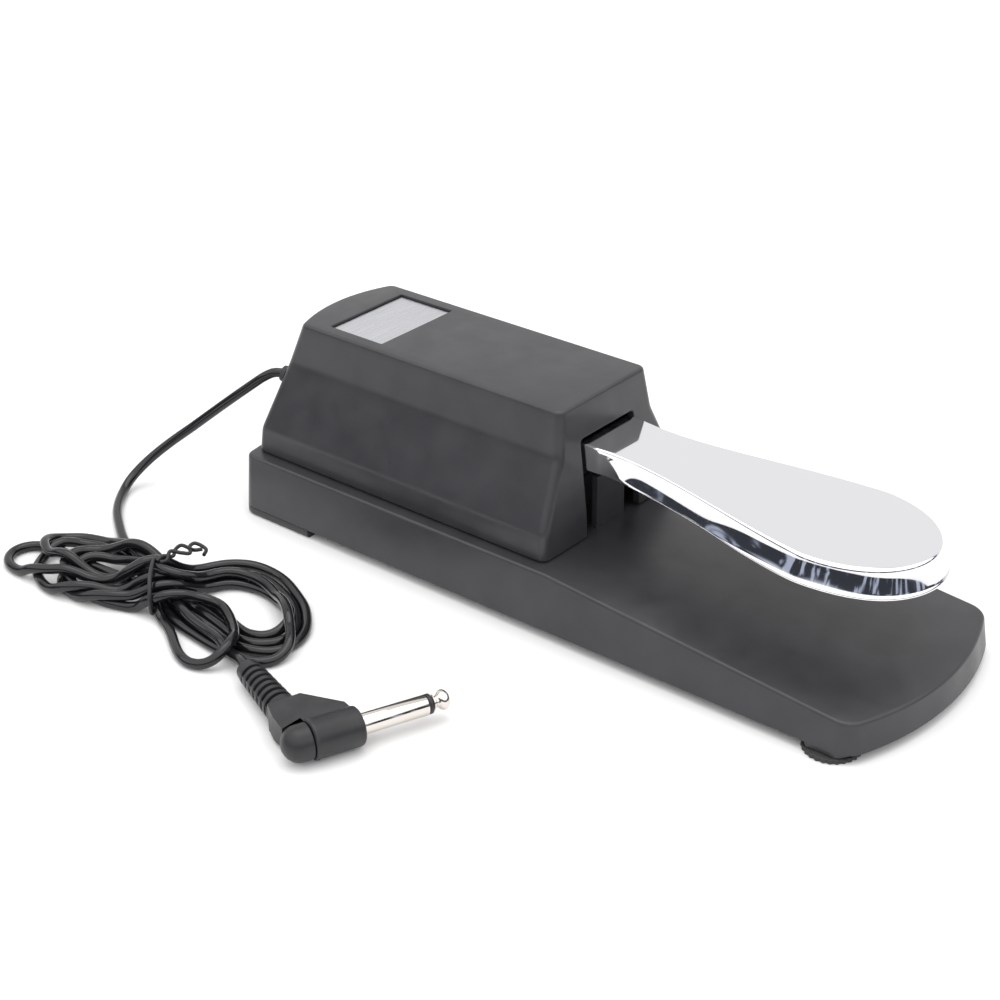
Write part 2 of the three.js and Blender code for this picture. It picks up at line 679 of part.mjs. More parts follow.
function addSpringAndStops() {
  const floor = BASE.deckZ + GAP;
  const seat = turned([
    [0, floor],
    [9.5, floor],
    [9.5, floor + 3.5],
    [8, floor + 3.5],
    [8, SPRING.bottomZ - GAP],
    [4.8, SPRING.bottomZ - GAP],
    [4.2, SPRING.bottomZ + 4],
    [0, SPRING.bottomZ + 4],
  ]);
  add("spring_seat", seat.translate(0, SPRING.y, 0), NYLON);
  const z0 = SPRING.bottomZ + SPRING.wire / 2;
  const z1 = SPRING.topZ - SPRING.wire / 2;
  const coil = new Helix({ radius: SPRING.radius, turns: SPRING.turns, z0, z1 });
  const spring = tube(coil, SPRING.wire / 2, 14 * SPRING.turns, 6);
  add("return_spring", spring.translate(0, SPRING.y, 0), STEEL);

  // the channel in the lower bumper clears the heads of the pedal screws
  const channel = PEDAL_SCREW.head + 0.7;
  const bumper = (stop, top) => box(-6, 6, stop.y - 3.5, stop.y + 3.5, stop.postTopZ + GAP, top);
  const channelBottom = DOWN_STOP.topZ - 2.6;
  const lowerStop = solid(bumper(DOWN_STOP, DOWN_STOP.topZ)).subtract(
    solid(box(-channel, channel, DOWN_STOP.y - 4, DOWN_STOP.y + 4, channelBottom, 40)),
  );
  add("down_stop_bumper", geometryOf(lowerStop), RUBBER);
  add("up_stop_bumper", bumper(UP_STOP, LEVER.bottomZ - GAP), RUBBER);
}

function addSwitch() {
  const { y, boardZ, boardHalf, bodyHalf, bodyDepth, bodyTopZ, screwX } = SWITCH;
  const top = boardZ + 1.6;
  let board = solid(box(-boardHalf, boardHalf, y - 5.2, y + 5.2, boardZ, top));
  for (const side of [-1, 1]) board = board.subtract(pilot(SELF_TAPPER, side * screwX, y, 20, 40));
  add("switch_board", geometryOf(board), BOARD_GREEN);
  for (const [side, word] of [[-1, "left"], [1, "right"]])
    addScrew(`board_screw_${word}`, { ...SELF_TAPPER, length: 7 }, [side * screwX, y, top + GAP]);

  const well = solid(disc(1.8, 34.4, 50, 16)).translate([0, y, 0]);
  const body = solid(box(-bodyHalf, bodyHalf, y - bodyDepth, y + bodyDepth, top + GAP, bodyTopZ));
  add("switch_body", geometryOf(body.subtract(well)), SWITCH_BLACK);
  const plungerTop = LEVER.bottomZ - GAP;
  const stem = [[0, 37], [1.5, 37], [1.5, plungerTop - 0.5], [1, plungerTop], [0, plungerTop]];
  const plunger = turned(stem, 14);
  add("switch_plunger", plunger.translate(0, y, 0), BUTTON_RED);
}

// ---------------------------------------------------------------- cord inside the hood
function addInnerLead() {
  const { lip, inside, neck } = GROMMET;
  const wallInside = -HOOD.wall - 4 * GAP;
  const grommet = turned([
    [0, -inside],
    [2.5, -inside],
    [2.9, wallInside],
    [neck, wallInside],
    [neck, 1.5 * GAP],
    [3.1, 1.5 * GAP],
    [2.7, lip],
    [0, lip],
  ]);
  add("cable_grommet", onGrommetAxis(grommet), RUBBER);

  const lead = new THREE.CatmullRomCurve3([
    grommetPoint(-inside - GAP),
    grommetPoint(-inside - 6),
    new THREE.Vector3(-17.5, 99, 34),
    new THREE.Vector3(-21.5, 93, 27.6),
    new THREE.Vector3(CLIP.cordX, CLIP.y + 4, CLIP.cordZ),
    new THREE.Vector3(CLIP.cordX, CLIP.y - 6, CLIP.cordZ),
    new THREE.Vector3(-23, 70, 26),
    new THREE.Vector3(-21, 60, 29),
    new THREE.Vector3(-18.5, SWITCH.y + 6.8, 31),
  ]);
  add("inner_lead", tube(lead, CORD.diameter / 2, 22), CORD_BLACK);

  const { screwX, y, topZ, cordX, cordZ } = CLIP;
  const channel = disc(CORD.diameter / 2 + 2 * GAP, -8, 8, 12).rotateX(Math.PI / 2);
  const clip = solid(box(screwX - 3.3, cordX + 3.5, y - 3, y + 3, BASE.deckZ + GAP, topZ))
    .subtract(solid(channel.translate(cordX, y, cordZ)))
    .subtract(pilot(SELF_TAPPER, screwX, y, 10, 40));
  add("cable_clip", geometryOf(clip), NYLON);
  addScrew("clip_screw", SELF_TAPPER, [screwX, y, topZ + GAP]);
}

// ---------------------------------------------------------------- free cord and plug
const FLOOR = CORD.floorZ;
// From the grommet in the air down to the floor behind the left corner, then into the hank.
const LEAD_ROUTE = [
  [-23.9, 121.6, 46.3],
  [-27.4, 128.6, 41.2],
  [-30.6, 135, 35.6],
  [-33.5, 142.5, 29],
  [-37, 150, 22.2],
  [-41.5, 157.2, 15.6],
  [-46.6, 162.4, 9.8],
  [-52.6, 164.8, 5],
  [-59, 163.2, 2.4],
  [-65.8, 158.4, FLOOR],
  [-71.5, 152.8, FLOOR],
  [-76.8, 145.6, FLOOR],
  [-84.3, 135.5, FLOOR],
];
// Seen from above, the outside of the tied bundle of turns: two lobes with a waist at the tie.
const HANK_OUTLINE = [
  [-117, 155],
  [-98, 154],
  [-86, 136],
  [-92.5, 112.5],
  [-73, 97],
  [-66, 75],
  [-77, 53],
  [-96, 43.5],
  [-113, 54.5],
  [-125, 59],
  [-122, 80],
  [-111.5, 97.5],
  [-120, 116],
  [-124, 138],
];
const HANK_TOP = 11.6;
const TIE = { x: -102, y: 105, turn: THREE.MathUtils.degToRad(38), half: 15, width: 1.6 };

// The plug's own frame: U along the jack towards its tip, V from the barrel towards the cord.
const PLUG = { x: -132, y: 3.2, turn: THREE.MathUtils.degToRad(-22) };
const placePlug = (geometry) => geometry.rotateZ(PLUG.turn).translate(PLUG.x, PLUG.y, 0);
const BOOT = { startV: 45, endV: 17, ribs: 7 };

function plugPoint(u, v, z) {
  return new THREE.Vector3(u, v, z).applyAxisAngle(new THREE.Vector3(0, 0, 1), PLUG.turn)
    .add(new THREE.Vector3(PLUG.x, PLUG.y, 0));
}

function addCord() {
  const radius = CORD.diameter / 2;
  const route = LEAD_ROUTE.map((p) => new THREE.Vector3(...p));
  const start = [GROMMET.lip + 1.5 * GAP, GROMMET.lip + 2].map(grommetPoint);
  const lead = new THREE.CatmullRomCurve3([...start, ...route]);
  add("cord_lead", tube(lead, radius, 20), CORD_BLACK);

  const outline = new THREE.CatmullRomCurve3(
    HANK_OUTLINE.map(([x, y]) => new THREE.Vector3(x, y, 0)),
    true,
  );
  const points = outline.getPoints(3 * HANK_OUTLINE.length).slice(1).map((p) => [p.x, p.y]);
  const tieLong = 2 * TIE.half + 10;
  const groove = new THREE.BoxGeometry(tieLong, TIE.width + 2 * GAP, 3.4);
  groove.rotateZ(TIE.turn).translate(TIE.x, TIE.y, 0.2);
  const hank = solid(extruded(points.reverse(), 0.2, HANK_TOP)).subtract(solid(groove));
  add("cord_hank", geometryOf(hank), CORD_BLACK);

  // the wire tie: a thin frame round the waist of the hank
  const wire = 1.2;
  const outerTie = box(-TIE.half, TIE.half, -TIE.width / 2, TIE.width / 2, 0.3, HANK_TOP + GAP + wire);
  const innerHalf = TIE.half - wire;
  const innerTie = box(-innerHalf, innerHalf, -9, 9, 0.3 + wire, HANK_TOP + GAP);
  const tie = solid(outerTie).subtract(solid(innerTie));
  add("wire_tie", geometryOf(tie).rotateZ(TIE.turn).translate(TIE.x, TIE.y, 0), PLUG_BLACK);

  const tailStart = plugPoint(0.5, BOOT.startV + 7.5, 3.6);
  const tailEnd = plugPoint(0, BOOT.startV + 2 * GAP, 4.6);
  add("cord_tail", tube(new THREE.LineCurve3(tailStart, tailEnd), radius, 2), CORD_BLACK);
}

function addPlug() {
  const { radius, axisZ, faceU } = BARREL;
  // ribbed boot, from the cord end (narrow) to the plug body (wide), turned about its own axis
  const length = BOOT.startV - BOOT.endV;
  const profile = [[0, 0], [4.9, 0], [4.9, 2.2]];
  const pitch = (length - 5.4) / BOOT.ribs;
  for (let i = 0; i < BOOT.ribs; i++) {
    const z = 2.2 + i * pitch;
    const outer = 4.8 - (0.9 * i) / BOOT.ribs;
    profile.push([outer - 0.9, z + 0.1], [outer - 0.9, z + 0.45 * pitch]);
    profile.push([outer, z + 0.5 * pitch], [outer, z + 0.98 * pitch]);
  }
  profile.push([3.7, length - 3], [3.3, length], [0, length]);
  const boot = turned(profile, 14).rotateX(-Math.PI / 2);
  const droop = Math.atan((axisZ - 4.6) / BOOT.startV);
  boot.translate(0, BOOT.endV, 0).rotateX(-droop).translate(0, 0, axisZ);
  add("plug_boot", placePlug(boot), PLUG_BLACK);

  const capV = 5.9; // the elbow reaches this close to the round end cap
  const elbow = [
    [-5.2, BOOT.endV - GAP],
    [-5.9, 11],
    [-5.4, capV],
    [GAP, capV],
    [GAP, 2],
    [faceU - 0.8, 2],
    [faceU - 1.5, 6.5],
    [5, BOOT.endV - GAP],
  ];
  const slab = solid(extruded(elbow.reverse(), axisZ - 4.8, axisZ + 4.6));
  const barrel = alongX(
    turned([[0, 0.3], [radius - 0.5, 0.3], [radius, 0.8], [radius, 1.6], [radius - 0.2, 2.2],
      [radius - 0.1, faceU - 1.2], [radius - 1, faceU], [0, faceU]], 24),
  );
  const body = solid(barrel.translate(0, 0, axisZ)).add(slab);
  add("plug_body", placePlug(geometryOf(body)), PLUG_BLACK);

  const dome = [[0, -8.2]];
  for (let i = 1; i <= 5; i++) {
    const angle = (Math.PI / 2) * (i / 5);
    dome.push([5.4 * Math.sin(angle), -3 - 5.2 * Math.cos(angle)]);
  }
  dome.push([5.4, 0], [0, 0]);
  add("plug_end_cap", placePlug(alongX(turned(dome, 20)).translate(0, 0, axisZ)), PLUG_BLACK);

  const jack = 3.175;
  const at = (start, profileUp) =>
    placePlug(alongX(turned(profileUp.map(([r, z]) => [r, start + z]), 18)).translate(0, 0, axisZ));
  const sleeve = [[0, 0], [jack, 0], [jack, 20.6], [0, 20.6]];
  add("jack_sleeve", at(faceU + GAP, sleeve), NICKEL);
  add("jack_insulator", at(faceU + 2 * GAP + 20.6, [[0, 0], [3.05, 0], [3.05, 1.1], [0, 1.1]]), PLUG_BLACK);
  const tip = [[0, 0], [2.6, 0], [2.1, 0.7], [2.1, 1.4], [3.1, 2.6], [3.1, 3.2], [1.5, 5.4], [0, 5.9]];
  add("jack_tip", at(faceU + 3 * GAP + 21.7, tip), NICKEL);
}

addBase();
addUnderside();
addHood();
addPedal();
addLever();
addPivot();
addSpringAndStops();
addSwitch();
addInnerLead();
addCord();
addPlug();

export default group;
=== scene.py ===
"""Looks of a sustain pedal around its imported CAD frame.

The frame is in metres: +X is the pedal's right, -Y points to the paddle's tip and +Z is up. Shapes are
written in millimetres and scaled by MM when their meshes are made.
"""

import json
import math

import bmesh
import bpy
import numpy as np
from mathutils import Matrix, Vector


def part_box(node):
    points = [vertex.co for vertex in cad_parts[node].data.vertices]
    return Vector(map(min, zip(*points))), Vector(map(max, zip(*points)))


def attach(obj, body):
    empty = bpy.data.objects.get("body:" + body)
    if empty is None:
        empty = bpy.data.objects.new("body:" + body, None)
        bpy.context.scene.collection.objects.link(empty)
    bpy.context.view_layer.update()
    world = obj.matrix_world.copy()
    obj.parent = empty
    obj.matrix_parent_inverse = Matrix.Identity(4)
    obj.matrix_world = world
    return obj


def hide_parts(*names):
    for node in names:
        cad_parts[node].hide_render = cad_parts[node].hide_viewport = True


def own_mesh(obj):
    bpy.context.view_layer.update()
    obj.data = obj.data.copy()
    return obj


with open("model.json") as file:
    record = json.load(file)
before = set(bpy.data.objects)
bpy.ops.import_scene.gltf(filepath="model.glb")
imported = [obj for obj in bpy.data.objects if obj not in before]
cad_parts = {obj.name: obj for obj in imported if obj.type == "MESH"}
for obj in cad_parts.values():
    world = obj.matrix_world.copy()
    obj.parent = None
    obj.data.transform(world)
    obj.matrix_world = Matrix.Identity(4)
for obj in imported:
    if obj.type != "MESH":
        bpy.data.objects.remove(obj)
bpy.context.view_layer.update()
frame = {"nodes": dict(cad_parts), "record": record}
MM = 0.001
scene = bpy.context.scene
scene.view_settings.view_transform = "Standard"


# ---------------------------------------------------------------- camera, floor and light
CAMERA_PLACE = (-0.46278, -0.34021, 0.33781)
CAMERA_YAW, CAMERA_PITCH, CAMERA_ROLL = 39.568, 28.331, -0.343  # degrees; the pitch is downwards


def make_camera():
    data = bpy.data.cameras.new("camera")
    data.sensor_width = 36
    data.lens = 73.88
    data.clip_start = 0.01
    data.clip_end = 30
    camera = bpy.data.objects.new("camera", data)
    scene.collection.objects.link(camera)
    yaw, pitch, roll = (math.radians(a) for a in (CAMERA_YAW, CAMERA_PITCH, CAMERA_ROLL))
    forward = Vector((math.cos(yaw) * math.cos(pitch), math.sin(yaw) * math.cos(pitch), -math.sin(pitch)))
    level = Vector((math.sin(yaw), -math.cos(yaw), 0))
    up = level.cross(forward)
    right = level * math.cos(roll) + up * math.sin(roll)
    top = up * math.cos(roll) - level * math.sin(roll)
    turn = Matrix((right, top, -forward)).transposed()
    camera.matrix_world = Matrix.Translation(CAMERA_PLACE) @ turn.to_4x4()
    scene.camera = camera


def make_light(name, place, target, size, power, mirrored):
    """An area lamp; a lamp that isn't mirrored leaves no reflection of its own in glossy surfaces."""
    data = bpy.data.lights.new(name, "AREA")
    data.shape = "RECTANGLE"
    data.size, data.size_y = size
    data.energy = power
    lamp = bpy.data.objects.new(name, data)
    scene.collection.objects.link(lamp)
    lamp.location = place
    aim = Vector(target) - Vector(place)
    lamp.visible_glossy = mirrored
    lamp.rotation_mode = "QUATERNION"
    lamp.rotation_quaternion = aim.to_track_quat("-Z", "Y")


def make_floor():
    half = 14.0
    mesh = bpy.data.meshes.new("floor")
    corners = [(-half, -half, 0), (half, -half, 0), (half, half, 0), (-half, half, 0)]
    mesh.from_pydata(corners, [], [(0, 1, 2, 3)])
    floor = bpy.data.objects.new("floor", mesh)
    scene.collection.objects.link(floor)
    paper = bpy.data.materials.new("floor_paper")
    paper.use_nodes = True
    shader = paper.node_tree.nodes["Principled BSDF"]
    shader.inputs["Base Color"].default_value = (0.88, 0.88, 0.88, 1)
    shader.inputs["Roughness"].default_value = 0.8
    shader.inputs["Specular IOR Level"].default_value = 0.1
    mesh.materials.append(paper)


def make_world():
    """Bright overhead and behind the pedal, dim in front of it, with a few dim upright shapes."""
    world = bpy.data.worlds.new("studio")
    scene.world = world
    world.use_nodes = True
    tree = world.node_tree
    sky = tree.nodes["Background"]

    def math_node(kind, first, second):
        node = tree.nodes.new("ShaderNodeMath")
        node.operation = kind
        for socket, value in zip(node.inputs, (first, second)):
            if isinstance(value, float):
                socket.default_value = value
            else:
                tree.links.new(value, socket)
        return node.outputs[0]

    def step(value, low, high):
        node = tree.nodes.new("ShaderNodeMapRange")
        node.interpolation_type = "SMOOTHSTEP"
        node.inputs["From Min"].default_value = low
        node.inputs["From Max"].default_value = high
        tree.links.new(value, node.inputs["Value"])
        return node.outputs["Result"]

    direction = tree.nodes.new("ShaderNodeTexCoord").outputs["Generated"]
    parts = tree.nodes.new("ShaderNodeSeparateXYZ")
    tree.links.new(direction, parts.inputs[0])
    x, y, z = parts.outputs
    # how far a direction points away from the camera, level with the floor
    yaw = math.radians(CAMERA_YAW)
    away = math_node(
        "ADD", math_node("MULTIPLY", x, math.cos(yaw)), math_node("MULTIPLY", y, math.sin(yaw))
    )
    behind = step(away, 0.25, 0.5)
    lowered = math_node("SUBTRACT", z, math_node("MULTIPLY", behind, 0.56))
    overhead = step(lowered, 0.3, 0.4)
    backdrop = math_node("MULTIPLY", behind, math_node("SUBTRACT", 1.0, step(z, 0.78, 0.84)))

    flat = tree.nodes.new("ShaderNodeMapping")
    flat.inputs["Scale"].default_value = (11.0, 11.0, 0.9)
    tree.links.new(direction, flat.inputs["Vector"])
    shapes = tree.nodes.new("ShaderNodeTexNoise")
    shapes.inputs["Scale"].default_value = 1.0
    shapes.inputs["Detail"].default_value = 3.0
    tree.links.new(flat.outputs["Vector"], shapes.inputs["Vector"])
    lit = math_node("MAXIMUM", overhead, behind)
    unlit = math_node("SUBTRACT", 1.0, lit)
    upright = math_node("MULTIPLY", step(shapes.outputs["Fac"], 0.53, 0.62), unlit)

    dim = math_node("ADD", math_node("MULTIPLY", upright, 0.5), 0.05)
    level = math_node("ADD", dim, math_node("MULTIPLY", overhead, 1.55))
    level = math_node("ADD", level, math_node("MULTIPLY", backdrop, 0.9))
    mix = tree.nodes.new("ShaderNodeMix")
    mix.data_type = "RGBA"
    tints = [i for i in mix.inputs if i.type == "RGBA"]
    tints[0].default_value = (0.82, 0.9, 1.12, 1)
    tints[1].default_value = (1.0, 0.99, 0.985, 1)
    tree.links.new(lit, mix.inputs["Factor"])
    tree.links.new([o for o in mix.outputs if o.type == "RGBA"][0], sky.inputs["Color"])
    tree.links.new(level, sky.inputs["Strength"])


def make_studio():
    make_floor()
    make_world()
    make_light("top_softbox", (0.15, 0.2, 1.6), (0, 0, 0), (1.3, 1.3), 7, True)
    make_light("side_strip", (-1.25, -0.55, 0.42), (0, -0.02, 0.05), (0.16, 0.5), 1.7, False)


# ---------------------------------------------------------------- materials
class Nodes:
    """Short names for building one material's node tree around its Principled shader."""

    def __init__(self, name, colour, roughness, metallic=0.0):
        self.material = bpy.data.materials.new(name)
        self.material.use_nodes = True
        self.tree = self.material.node_tree
        self.shader = self.tree.nodes["Principled BSDF"]
        self.shader.inputs["Base Color"].default_value = (*colour, 1)
        self.shader.inputs["Roughness"].default_value = roughness
        self.shader.inputs["Metallic"].default_value = metallic
        self.coords = self.tree.nodes.new("ShaderNodeTexCoord").outputs["Object"]
        self.bump = None

    def link(self, source, target):
        self.tree.links.new(source, target)

    def stretched(self, scale):
        mapping = self.tree.nodes.new("ShaderNodeMapping")
        mapping.inputs["Scale"].default_value = scale
        self.link(self.coords, mapping.inputs["Vector"])
        return mapping.outputs["Vector"]

    def noise(self, size_mm, detail=2.0, coords=None, rough=0.5):
        node = self.tree.nodes.new("ShaderNodeTexNoise")
        node.inputs["Scale"].default_value = 1 / (size_mm * MM)
        node.inputs["Detail"].default_value = detail
        node.inputs["Roughness"].default_value = rough
        self.link(coords or self.coords, node.inputs["Vector"])
        return node.outputs["Fac"]

    def ramp(self, value, low, high, to_low=0.0, to_high=1.0):
        node = self.tree.nodes.new("ShaderNodeMapRange")
        node.inputs["From Min"].default_value = low
        node.inputs["From Max"].default_value = high
        node.inputs["To Min"].default_value = to_low
        node.inputs["To Max"].default_value = to_high
        self.link(value, node.inputs["Value"])
        return node.outputs["Result"]

    def mix(self, factor, first, second):
        node = self.tree.nodes.new("ShaderNodeMix")
        node.data_type = "RGBA"
        for socket, value in (("A", first), ("B", second)):
            target = [i for i in node.inputs if i.name == socket and i.type == "RGBA"][0]
            if isinstance(value, tuple):
                target.default_value = (*value, 1)
            else:
                self.link(value, target)
        self.link(factor, node.inputs["Factor"])
        return [o for o in node.outputs if o.type == "RGBA"][0]

    def edges(self, share):
        """A mask of the outward edges, broken up by noise; it places a painted highlight."""
        sharp = self.tree.nodes.new("ShaderNodeNewGeometry").outputs["Pointiness"]
        node = self.tree.nodes.new("ShaderNodeMath")
        node.operation = "MULTIPLY"
        self.link(self.ramp(sharp, 0.52, 0.62, 0.0, share), node.inputs[0])
        self.link(self.ramp(self.noise(5, 4), 0.35, 0.65), node.inputs[1])
        return node.outputs[0]

    def relief(self, height, strength, depth_mm):
        node = self.tree.nodes.new("ShaderNodeBump")
        node.inputs["Strength"].default_value = strength
        node.inputs["Distance"].default_value = depth_mm * MM
        self.link(height, node.inputs["Height"])
        if self.bump is not None:
            self.link(self.bump, node.inputs["Normal"])
        self.bump = node.outputs["Normal"]
        self.link(self.bump, self.shader.inputs["Normal"])

    def colour_from(self, source):
        self.link(source, self.shader.inputs["Base Color"])

    def roughness_from(self, source):
        self.link(source, self.shader.inputs["Roughness"])


def moulded_plastic(name, dark, light, rough, grain_mm=0.35, grain=0.25, spread=0.06):
    n = Nodes(name, dark, rough)
    wear_and_painted_highlight = tuple(min(1.0, 1.7 * c) for c in light)
    body = n.mix(n.ramp(n.noise(14, 4), 0.35, 0.7), dark, light)
    # painted highlight: the outward edges get a lighter colour that stands in for light caught on them
    n.colour_from(n.mix(n.edges(0.6), body, wear_and_painted_highlight))
    n.roughness_from(n.ramp(n.noise(9, 5), 0.3, 0.7, rough - spread, rough + spread))
    n.relief(n.noise(grain_mm, 3, rough=0.6), grain, 0.03)
    n.relief(n.noise(6, 2), 0.08, 0.15)
    return n.material


def polished_metal(name, tint, smooth, wear_and_painted_highlight, scratch=0.03):
    n = Nodes(name, tint, smooth, 1.0)
    n.roughness_from(n.ramp(n.noise(11, 6), 0.35, 0.75, smooth, wear_and_painted_highlight))
    n.relief(n.noise(1.2, 3, coords=n.stretched((1, 0.06, 1))), scratch, 0.01)
    n.relief(n.noise(18, 1), 0.05, 0.1)
    return n.material


def brushed_metal(name, tint, rough):
    n = Nodes(name, tint, rough, 1.0)
    lines = n.noise(0.5, 4, coords=n.stretched((0.03, 1, 1)), rough=0.7)
    shade = tuple(0.86 * c for c in tint)
    n.colour_from(n.mix(n.ramp(lines, 0.35, 0.65), shade, tint))
    n.roughness_from(n.ramp(lines, 0.3, 0.7, rough - 0.06, rough + 0.08))
    n.relief(lines, 0.1, 0.01)
    return n.material


def plated_steel(name, tint, rough):
    n = Nodes(name, tint, rough, 1.0)
    shade = tuple(0.75 * c for c in tint)
    n.colour_from(n.mix(n.ramp(n.noise(3, 5), 0.35, 0.7), tint, shade))
    n.roughness_from(n.ramp(n.noise(2, 4), 0.3, 0.7, rough - 0.08, rough + 0.12))
    n.relief(n.noise(0.5, 3, coords=n.stretched((1, 0.15, 1))), 0.15, 0.02)
    return n.material


def soft_rubber(name, dark, light, rough):
    n = Nodes(name, dark, rough)
    n.colour_from(n.mix(n.ramp(n.noise(4, 5), 0.35, 0.7), dark, light))
    n.relief(n.noise(0.3, 4), 0.4, 0.04)
    return n.material


# the materials by look; a look has the name of its material slot, except the smoother rubber of the pad
LOOKS = {
    "housing": moulded_plastic(
        "satin_black", (0.027, 0.0265, 0.030), (0.035, 0.034, 0.038), 0.34, 0.25, 0.12
    ),
    "chrome": polished_metal("chrome_plate", (0.83, 0.83, 0.85), 0.03, 0.08, 0.015),
    "zinc": plated_steel("zinc_plate", (0.62, 0.63, 0.64), 0.34),
    "steel": plated_steel("bare_steel", (0.5, 0.5, 0.51), 0.28),
    "rubber": soft_rubber("black_rubber", (0.022, 0.022, 0.023), (0.036, 0.035, 0.036), 0.6),
    "pad": soft_rubber("grey_rubber", (0.028, 0.027, 0.029), (0.034, 0.033, 0.035), 0.42),
    "nylon": moulded_plastic("nylon", (0.72, 0.7, 0.62), (0.8, 0.78, 0.7), 0.45),
    "badge": brushed_metal("badge_plate_metal", (0.66, 0.67, 0.7), 0.28),
    "board": moulded_plastic("board_green", (0.02, 0.16, 0.06), (0.03, 0.2, 0.08), 0.3),
    "switch": moulded_plastic("switch_black", (0.02, 0.02, 0.024), (0.03, 0.03, 0.034), 0.4),
    "button": moulded_plastic("button_red", (0.42, 0.03, 0.02), (0.5, 0.05, 0.03), 0.4),
    "cord": moulded_plastic(
        "cord_pvc", (0.006, 0.006, 0.007), (0.009, 0.009, 0.011), 0.15, 0.8, 0.03, 0.03
    ),
    "plug": moulded_plastic("plug_plastic", (0.011, 0.011, 0.013), (0.016, 0.016, 0.018), 0.42, 0.25, 0.3),
    "nickel": polished_metal("nickel_plate", (0.74, 0.7, 0.65), 0.05, 0.12),
}


# ---------------------------------------------------------------- mesh helpers
def as_object(name, mesh, look, body="base", smooth_angle=35.0):
    """Puts a mesh in the scene with its material and finish, riding on a CAD body."""
    obj = bpy.data.objects.new(name, mesh)
    scene.collection.objects.link(obj)
    mesh.materials.clear()
    mesh.materials.append(LOOKS[look])
    shade_by_angle(mesh, smooth_angle)
    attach(obj, body)
    return obj


def shade_by_angle(mesh, degrees):
    """Smooth shading that stops at edges sharper than the angle."""
    bm = bmesh.new()
    bm.from_mesh(mesh)
    limit = math.radians(degrees)
    for face in bm.faces:
        face.smooth = True
    for edge in bm.edges:
        edge.smooth = len(edge.link_faces) == 2 and edge.calc_face_angle(0.0) < limit
    bm.to_mesh(mesh)
    bm.free()


def loft(name, rings, caps=None):
    """A closed mesh over a stack of equal rings (bottom to top), points in millimetres."""
    count = len(rings[0])
    points = [tuple(c * MM for c in p) for ring in rings for p in ring]
    faces = []
    for r in range(len(rings) - 1):
        for i in range(count):
            j = (i + 1) % count
            faces.append((r * count + i, r * count + j, (r + 1) * count + j, (r + 1) * count + i))
    caps = caps or [list(range(count))]
    top = (len(rings) - 1) * count
    for cap in caps:
        faces.append(tuple(reversed(cap)))
        faces.append(tuple(top + i for i in cap))
    mesh = bpy.data.meshes.new(name)
    mesh.from_pydata(points, [], faces)
    mesh.validate()
    return mesh


def turned(name, profile, sides=64):
    """A body of revolution about +Z; profile is [radius, z] in millimetres, from axis to axis."""
    bm = bmesh.new()
    rings = []
    for radius, z in profile:
        if radius < 1e-6:
            rings.append([bm.verts.new((0, 0, z * MM))])
            continue
        ring = []
        for i in range(sides):
            a = 2 * math.pi * i / sides
            ring.append(bm.verts.new((radius * math.cos(a) * MM, radius * math.sin(a) * MM, z * MM)))
        rings.append(ring)
    for low, high in zip(rings, rings[1:]):
        for i in range(sides):
            j = (i + 1) % sides
            corners = [low[i % len(low)], low[j % len(low)], high[j % len(high)], high[i % len(high)]]
            unique = list(dict.fromkeys(corners))
            if len(unique) >= 3:
                bm.faces.new(unique)
    bmesh.ops.recalc_face_normals(bm, faces=bm.faces)
    mesh = bpy.data.meshes.new(name)
    bm.to_mesh(mesh)
    bm.free()
    return mesh


def tube_mesh(name, path, radius, sides, closed=False):
    """A round tube along a dense path, in metres."""
    path = np.asarray(path, float)
    count = len(path)
    if closed:
        tangents = np.roll(path, -1, 0) - np.roll(path, 1, 0)
    else:
        tangents = np.gradient(path, axis=0)
    tangents /= np.linalg.norm(tangents, axis=1)[:, None]
    side = np.cross(tangents[0], (0.0, 0.0, 1.0))
    if np.linalg.norm(side) < 1e-3:  # the path starts straight up or down
        side = np.array((1.0, 0.0, 0.0))
    verts, faces = [], []
    for p, t in zip(path, tangents):
        side = side - t * (side @ t)
        side /= np.linalg.norm(side)
        other = np.cross(t, side)
        for k in range(sides):
            a = 2 * math.pi * k / sides
            verts.append(p + radius * (math.cos(a) * side + math.sin(a) * other))
    loops = count if closed else count - 1
    shift = 0
    if closed:  # match the last ring to the first one, whose frame has turned on the way round
        last = np.array(verts[-sides:]) - path[-1]
        first = np.array(verts[:sides]) - path[0]
        shift = int(np.argmax([(np.roll(first, -k, 0) * last).sum() for k in range(sides)]))
    for i in range(loops):
        nxt = (i + 1) % count
        turn = shift if closed and nxt == 0 else 0
        here, there = i * sides, nxt * sides
        for k in range(sides):
            m = (k + 1) % sides
            faces.append((here + k, here + m, there + (m + turn) % sides, there + (k + turn) % sides))
    if not closed:
        faces.append(tuple(range(sides)))
        faces.append(tuple(reversed(range((count - 1) * sides, count * sides))))
    mesh = bpy.data.meshes.new(name)
    mesh.from_pydata([tuple(v) for v in verts], [], faces)
    bm = bmesh.new()
    bm.from_mesh(mesh)
    bmesh.ops.recalc_face_normals(bm, faces=bm.faces)
    bm.to_mesh(mesh)
    bm.free()
    return mesh


def cut(mesh, cutters, operation="DIFFERENCE"):
    """The mesh with each cutter mesh taken away (or added), by exact booleans."""
    obj = bpy.data.objects.new("cutting", mesh)
    scene.collection.objects.link(obj)
    helpers = []
    for cutter in cutters:
        helper = bpy.data.objects.new("cutter", cutter)
        scene.collection.objects.link(helper)
        helpers.append(helper)
        modifier = obj.modifiers.new("cut", "BOOLEAN")
        modifier.solver = "EXACT"
        modifier.operation = operation
        modifier.object = helper
    bpy.context.view_layer.update()
    depsgraph = bpy.context.evaluated_depsgraph_get()
    made = bpy.data.meshes.new_from_object(obj.evaluated_get(depsgraph))
    for helper in [obj, *helpers]:
        bpy.data.objects.remove(helper)
    return made


